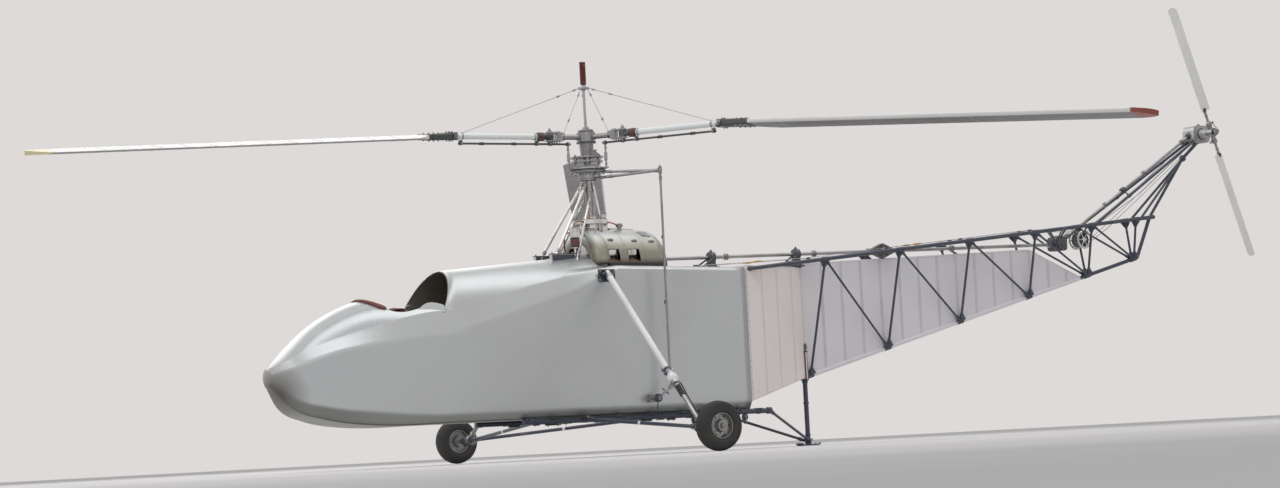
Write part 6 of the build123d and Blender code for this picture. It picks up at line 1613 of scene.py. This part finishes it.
def make_body_skin():
    """The silver skin of nose, deck and rear body, with its tip, its cheeks and a dark cabin lining that paints the
    cabin's shade.
    """
    nose = nose_rows()
    tip = []
    for k in range(7):
        turn = math.radians(90 * k / 7)
        tip.append([(-2790 - 26 * math.cos(turn), y * math.sin(turn), 690 + (z - 690) * math.sin(turn))
                    for s, y, z in nose[0]])
    deck = deck_rows()
    skin = body_skin("body_skin", (tip + nose, deck), silver_skin_painted_shade, SKIN_THICKNESS)
    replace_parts(skin, "nose_shell", "deck_shell", "rear_shell")
    # The lining is a dark sheet just inside the skin: painted shade for the cabin's inside.
    lining = (nose_rows(LINING_INSET, -2400), deck_rows(LINING_INSET, -900))
    body_skin("cabin_shade_lining", lining, painted_shade_lining, 0)
    cheeks = Form()
    for name, side in SIDES:
        front, rear = mirrored((-1745, 303, 1084), side), mirrored((-1497, 335, 1128), side)
        up = Vector((0, -side * 35, 84)).normalized()
        run = rear - front
        outline = []
        for k in range(25):
            share = k / 24
            height = 90 * math.sin(math.pi * min(share * 0.92, 1)) ** 0.8 if share < 0.55 else (
                90 + (44 - 90) * ((share - 0.55) / 0.45) ** 1.6)
            outline.append(front + run * share + up * max(height, 0.0))
        outline += [rear - up * 12, front - up * 12]
        depth = run.cross(up).normalized() * (10 * side)
        cheeks.plate([p - depth / 2 for p in outline], depth)
    cheeks.show("cheeks", silver_skin_painted_shade, "silver_fabric", angle=50, bevel=4.0)


def make_crown_skin():
    """The fairing behind the deck, as one taut skin."""
    rows = []
    for k in range(-1, 13):
        share = max(k, 0) / 12
        station = -450 + share * 410 - 12 * (k < 0)
        half, low_z, top_z = 330 - 24 * share, 1370 + 48 * share, 1515 + 41 * share
        radius = (half**2 + (top_z - low_z) ** 2) / (2 * (top_z - low_z))
        reach = math.asin(half / radius)
        low_by = 0.8 if k > 0 else -3.0
        rows.append([(station, radius * math.sin(reach * (1 - n / 18)),
                      top_z - radius + radius * math.cos(reach * (1 - n / 18)) + low_by) for n in range(19)])
    rows.append([(-40, y * 0.97, z - 14) for s, y, z in rows[-1]])
    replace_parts(body_skin("crown_skin", (rows,), silver_skin_painted_shade, 6), "deck_crown")


make_body_skin()
make_crown_skin()
reskin("engine_cowl", cowl_metal_painted_shade, angle=30)
reskin("main_blades", blade_dope_painted_shade, "main_rotor", angle=30)


# Cockpit
def arch_point(station, y, inset=0.0):
    """A point on the nose's arch and the direction out of it."""
    row = row_at(SKIN_ROWS, station, True)
    ridge_y, ridge_z, top_z = row[6:]
    radius = (ridge_y**2 + (top_z - ridge_z) ** 2) / (2 * (top_z - ridge_z))
    out = Vector((0, y, math.sqrt(radius**2 - y**2))).normalized()
    return Vector((station, y, top_z - radius + math.sqrt(radius**2 - y**2))) - out * inset, out


def coaming_path():
    """Points round the opening's edge, from the port entry cut-out over the front to the starboard cheek."""
    spots = []
    for k in range(49):
        turn = math.radians(37.4 + (180 - 37.4) * k / 48)
        spots.append((OPENING_CENTRE - OPENING_REACH * math.sin(turn), -OPENING_HALF * math.cos(turn)))
    spots += [(OPENING_CENTRE + 32 * k, OPENING_HALF) for k in range(1, 9)]
    return [arch_point(station, y) for station, y in spots]


def make_coaming():
    """A stuffed leather roll over the opening's edge, with its seam and stitches."""
    roll, seam, stitches = Form(), Form(), Form()
    path = coaming_path()
    loops, seam_line = [], []
    count = len(path)
    for k, (point, out) in enumerate(path):
        before, after = path[max(k - 1, 0)][0], path[min(k + 1, count - 1)][0]
        way = (after - before).normalized()
        across = way.cross(out).normalized()
        end = min(k, count - 1 - k)
        swell = (0.45, 0.8, 0.95)[end] if end < 3 else 1.0
        swell *= 1 + 0.02 * math.sin(k * 1.9)
        loops.append([point + out * 3 + across * 21 * swell * math.cos(t) * abs(math.cos(t)) ** -0.25
                      + out * 12.5 * swell * math.sin(t) for t in (math.tau * (s + 0.5) / 18 for s in range(18))])
        seam_line.append(point + out * 5 - across * 21.5 * swell)
        if k and end > 2:
            for share in (0.0, 0.5):
                middle = point + (after - point) * share
                for reach, lift in ((-12.5, 12.8), (12.5, 12.8)):
                    stitches.box(middle + out * (lift - 1.0) + across * reach, (7, 2.4, 2.4), way, out)
    roll.skin(loops)
    seam.cable(seam_line[2:-2], 2.6, 8)
    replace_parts(roll.show("coaming_roll", red_leather, "coaming_leather", angle=60), "cockpit_coaming")
    seam.show("coaming_seam", red_leather, "coaming_leather", angle=60)
    stitches.show("coaming_stitches", thread_tan, "coaming_leather")


def cushion(name, centre, half, along, up, pleats):
    """A crowned, closed cushion: half its length, width and height."""
    x = Vector(along).normalized()
    y = Vector(up).cross(x).normalized()
    z = x.cross(y)
    form = Form()
    loops = []
    for row in range(25):
        lift = math.radians(-88 + 176 * row / 24)
        ring = []
        for k in range(64):
            turn = math.tau * k / 64
            c, s = math.cos(turn), math.sin(turn)
            flat = abs(math.cos(lift)) ** 0.42
            a = half[0] * math.copysign(abs(c) ** 0.32, c) * flat
            b = half[1] * math.copysign(abs(s) ** 0.32, s) * flat
            crown = 1 - 0.35 * max(abs(a) / half[0], abs(b) / half[1]) ** 3
            dent = 1 - 0.16 * sum(math.exp(-((b - half[1] * p) / 7) ** 2) for p in pleats)
            height = half[2] * math.copysign(abs(math.sin(lift)) ** 0.6, lift) * crown * (dent if lift > 0 else 1)
            ring.append(Vector(centre) + x * a + y * b + z * height)
        loops.append(ring)
    form.skin(loops)
    piece = form.show(name, brown_leather, "coaming_leather", angle=70)
    return [loops[12][k] for k in range(64)]


def strap(form, points, width, across, gauge=2.5):
    """A strap along points, flat along one direction."""
    side = Vector(across).normalized()
    loops = []
    for k, point in enumerate(points):
        before, after = Vector(points[max(k - 1, 0)]), Vector(points[min(k + 1, len(points) - 1)])
        out = (after - before).normalized().cross(side).normalized()
        loops.append([Vector(point) + side * width / 2 * i + out * gauge / 2 * j
                      for i, j in ((-1, -1), (1, -1), (1, 1), (-1, 1))])
    form.skin(loops)


def make_seat():
    """Seat and back cushions with their piping, the harness, and the seat's rivets."""
    belts, metal, piping = Form(), Form(), Form()
    rim = cushion("seat_cushion", (-1632, 0, 655), (158, 192, 34), (360, 0, -30), (0, 0, 1), (-0.34, 0.0, 0.34))
    piping.cable(rim, 4, 6, closed=True)
    up = Vector((70, 0, 520)).normalized()
    rim = cushion("back_cushion", (-1452, 0, 910), (196, 188, 27), up, (-520, 0, 70),
                  (-0.34, 0.0, 0.34))
    piping.cable(rim, 4, 6, closed=True)
    for side in (-1, 1):
        strap(belts, [(-1356, side * 62, 1128), (-1374, side * 62, 1150), (-1398, side * 64, 1138),
                      (-1440, side * 68, 1100), (-1472, side * 76, 1020), (-1484, side * 84, 920),
                      (-1496, side * 92, 820),
                      (-1530, side * 84, 730), (-1566, side * 52, 704), (-1588, side * 22, 700)], 44, (0, 1, 0))
        strap(belts, [(-1450, side * 214, 622), (-1470, side * 216, 670), (-1510, side * 196, 704),
                      (-1545, side * 140, 712), (-1578, side * 80, 703),
                      (-1598, side * 24, 700)], 46, (1, side * 0.6, 0))
        metal.box((-1448, side * 213, 628), (34, 8, 50))
        metal.bolt((-1448, side * 217, 612), (0, side, 0), 8)
        metal.box((-1478, side * 80, 985), (8, 56, 34), (1, 0, 0))
        for k in range(9):
            metal.rivet((-1792 + 40 * k, side * 204, 641 - 3.4 * k), (0, 0, 1), 4)
            metal.rivet(Vector((-1436, side * 200, 640)) + up * (20 + 54 * k), (-520, 0, 70), 4)
    metal.turned((-1590, 0, 698), (0, 0, 1), ((0, 36), (3, 38), (10, 38), (14, 30), (15, 14), (18, 12)), 28)
    for k in range(4):
        turn = math.tau * (k + 0.5) / 4
        way = Vector((math.cos(turn), math.sin(turn), 0))
        metal.box(Vector((-1590, 0, 704)) + way * 40, (26, 20, 5), way)
    belts.show("harness", webbing, "coaming_leather")
    metal.show("harness_metal", oiled_steel, "bare_steel", bevel=1.0)
    piping.show("cushion_piping", red_leather, "coaming_leather", angle=60)


def make_panel():
    """Dial faces with marks and needles, glasses, screws and switches."""
    faces, marks, metal, glass = Form(), Form(), Form(), Form()
    for number, (y, z) in enumerate(((-120, 1020), (0, 1030), (120, 1020))):
        face = Vector((-2068, y, z))
        faces.turned(face, (1, 0, 0), ((0, 35.5), (1.5, 35.5)), 40)
        for k in range(30):
            turn = math.radians(-225 + 9 * k)
            ray = Vector((0, -math.cos(turn), -math.sin(turn)))
            long = 7 if k % 5 == 0 else 4
            marks.box(face + ray * (32 - long / 2) + Vector((1.8, 0, 0)),
                      (long, 1.2 if long == 4 else 2, 0.8), ray, (1, 0, 0))
        turn = math.radians((-150, -95, -40)[number])
        ray = Vector((0, -math.cos(turn), -math.sin(turn)))
        marks.box(face + ray * 10 + Vector((3.2, 0, 0)), (34, 2.6, 1), ray, (1, 0, 0))
        metal.turned(face + Vector((2, 0, 0)), (1, 0, 0), ((0, 4), (3, 4), (4, 2)), 12)
        metal.ring(face + Vector((6, 0, 0)), (1, 0, 0), 36.5, 1.6, 40, 6)
        glass.turned(face + Vector((5.2, 0, 0)), (1, 0, 0), ((0, 35.8), (0.8, 35.8)), 40)
        for k in range(4):
            turn = math.tau * (k + 0.5) / 4
            metal.rivet(face + Vector((-1.5, 52 * math.cos(turn), 52 * math.sin(turn))), (1, 0, 0), 3.4)
    for k, y in enumerate((-150, -90, -60, 60, 90, 150)):
        metal.turned((-2070, y, 956), (1, 0, 0), ((0, 7), (4, 7), (5, 4), (8, 4)), 10)
        metal.rod((-2063, y, 956), (-2046, y, 956 + (7 if k % 2 else -7)), 2.2, 3.2, 8)
    for y in (-196, 196):
        for z in (950, 1092):
            metal.rivet((-2069.5, y, z), (1, 0, 0), 4)
    faces.show("dial_faces", crackle_black, "panel_black")
    marks.show("dial_marks", dial_ivory, "panel_black")
    metal.show("panel_metal", oiled_steel, "bare_steel")
    glass.show("dial_glass", clear_glass, "panel_black")


def make_cabin_fittings():
    """Floor boards, frames and stringers behind the skin, stick grip and boot, pedal treads, collective lever."""
    boards, frames, dark, steel = Form(), Form(), Form(), Form()
    for k in range(5):
        y = -196 + 98 * k
        boards.box((-1684, y, 404), (1120, 94, 8))
        for station in (-2200, -1950, -1680, -1420, -1160):
            for across in (-30, 30):
                steel.rivet((station, y + across, 408), (0, 0, 1), 4)
    for station in (-2360, -2160, -1990, -1760, -1530):
        flat = section(row_at(SKIN_ROWS, station, True), opening_edge(station) + (30 if station > -2040 else 0), 26)
        for side in (-1, 1):
            frames.cable([(station, side * p.x, p.y) for p in flat[9::2]], 8, 8)
    for side in (-1, 1):
        for column in (16, 38):
            line = []
            for station in (-2380, -2240, -2100, -1960, -1800, -1640, -1510):
                p = section(row_at(SKIN_ROWS, station, True), opening_edge(station), 30)[column]
                line.append((station, side * p.x, p.y))
            frames.cable(line, 7, 8)
    dark.turned((-1960, 0, 408), (0.06, 0, 1), ((0, 66), (8, 62), (14, 52), (22, 54), (30, 40), (38, 42), (48, 28),
                                                (56, 30), (70, 16), (84, 12)), 28)
    lean = Vector((10, 0, 95)).normalized()
    for k in range(9):
        dark.turned(Vector((-1910, 0, 862)) + lean * 8.6 * k, lean, ((0, 17.4), (2, 18.8), (5, 18.8), (7, 17.4)), 20)
    steel.turned(Vector((-1910, 0, 855)) + lean * 94, lean, ((0, 15), (3, 15), (5, 8), (9, 7)), 16)
    for side in (-1, 1):
        for k in range(4):
            steel.box((-2250, side * 120, 556 + 13 * k), (4, 92, 5))
        strap(dark, [(-2262, side * 168, 560), (-2240, side * 160, 575), (-2226, side * 120, 582),
                     (-2240, side * 80, 575), (-2262, side * 72, 560)], 26, (0, 0, 1))
        steel.bolt((-2240, side * 190, 436), (0, 0, 1), 7)
        steel.cable([(-2236, side * 176, 424), (-2000, side * 214, 430), (-1600, side * 222, 436),
                     (-1130, side * 220, 440)],
                    2.4, 6)
    steel.rod((-1690, -226, 408), (-1874, -226, 618), 9)
    dark.rod((-1846, -226, 586), (-1910, -226, 659), 15, 13, 16)
    steel.turned((-1690, -238, 428), (0, 1, 0), ((0, 22), (24, 22)), 20)
    steel.bolt((-1690, -214, 428), (0, 1, 0), 8)
    boards.show("floor_boards", ash_wood, "interior_paint", bevel=1.5)
    frames.show("cabin_frames", cabin_green, "interior_paint", angle=60)
    dark.show("grips_and_boots", hose_black, "panel_black", angle=50)
    steel.show("cabin_metal", oiled_steel, "bare_steel")


make_coaming()
make_seat()
make_panel()
make_cabin_fittings()


# Stage: a pale floor, a pale world, and soft lamps above
FLOOR_REACH = 60


def make_stage():
    """Floor, world and lamps, at a plain level of light."""
    data = bpy.data.meshes.new("floor")
    corners = [(-FLOOR_REACH, -FLOOR_REACH, 0), (FLOOR_REACH, -FLOOR_REACH, 0),
               (FLOOR_REACH, FLOOR_REACH, 0), (-FLOOR_REACH, FLOOR_REACH, 0)]
    data.from_pydata(corners, [], [(0, 1, 2, 3)])
    floor = bpy.data.objects.new("floor", data)
    bpy.context.scene.collection.objects.link(floor)
    data.materials.append(finish("pale_floor", rgb(0.72, 0.70, 0.69), rgb(0.66, 0.64, 0.62), 0.3, 0.4, 0.85))
    world = bpy.data.worlds.new("studio")
    bpy.context.scene.world = world
    world.use_nodes = True
    tree = world.node_tree
    tree.nodes.clear()
    light = add_node(tree, "ShaderNodeBackground", Color=rgb(0.96, 0.98, 1.0), Strength=0.52)
    shown = add_node(tree, "ShaderNodeBackground", Color=rgb(0.73, 0.70, 0.69), Strength=1.0)
    path = add_node(tree, "ShaderNodeLightPath").outputs
    seen = math_node(tree, "MAXIMUM", path["Is Camera Ray"],
                     math_node(tree, "MAXIMUM", path["Is Glossy Ray"], path["Is Transmission Ray"]))
    blend = tree.nodes.new("ShaderNodeMixShader")
    tree.links.new(seen, blend.inputs[0])
    tree.links.new(light.outputs[0], blend.inputs[1])
    tree.links.new(shown.outputs[0], blend.inputs[2])
    tree.links.new(blend.outputs[0], add_node(tree, "ShaderNodeOutputWorld").inputs["Surface"])
    for name, place, size, power in (
        ("top_lamp", (0, -1.0, 9.0), (14, 7), 380),
        ("side_lamp", (-7.0, -13.0, 6.0), (8, 5), 60),
        ("nose_lamp", (-10.5, -1.0, 7.0), (5, 3), 70),
        ("far_lamp", (-2.0, 11.0, 8.5), (17, 6), 520),
    ):
        lamp_data = bpy.data.lights.new(name, "AREA")
        lamp_data.shape = "RECTANGLE"
        lamp_data.size, lamp_data.size_y = size
        lamp_data.energy = power
        lamp = bpy.data.objects.new(name, lamp_data)
        lamp.visible_camera = False
        bpy.context.scene.collection.objects.link(lamp)
        lamp.location = place
        lamp.rotation_euler = (Vector((0, 0, 1.2)) - Vector(place)).to_track_quat("-Z", "Y").to_euler()


make_stage()
bpy.context.scene.view_settings.view_transform = "Standard"
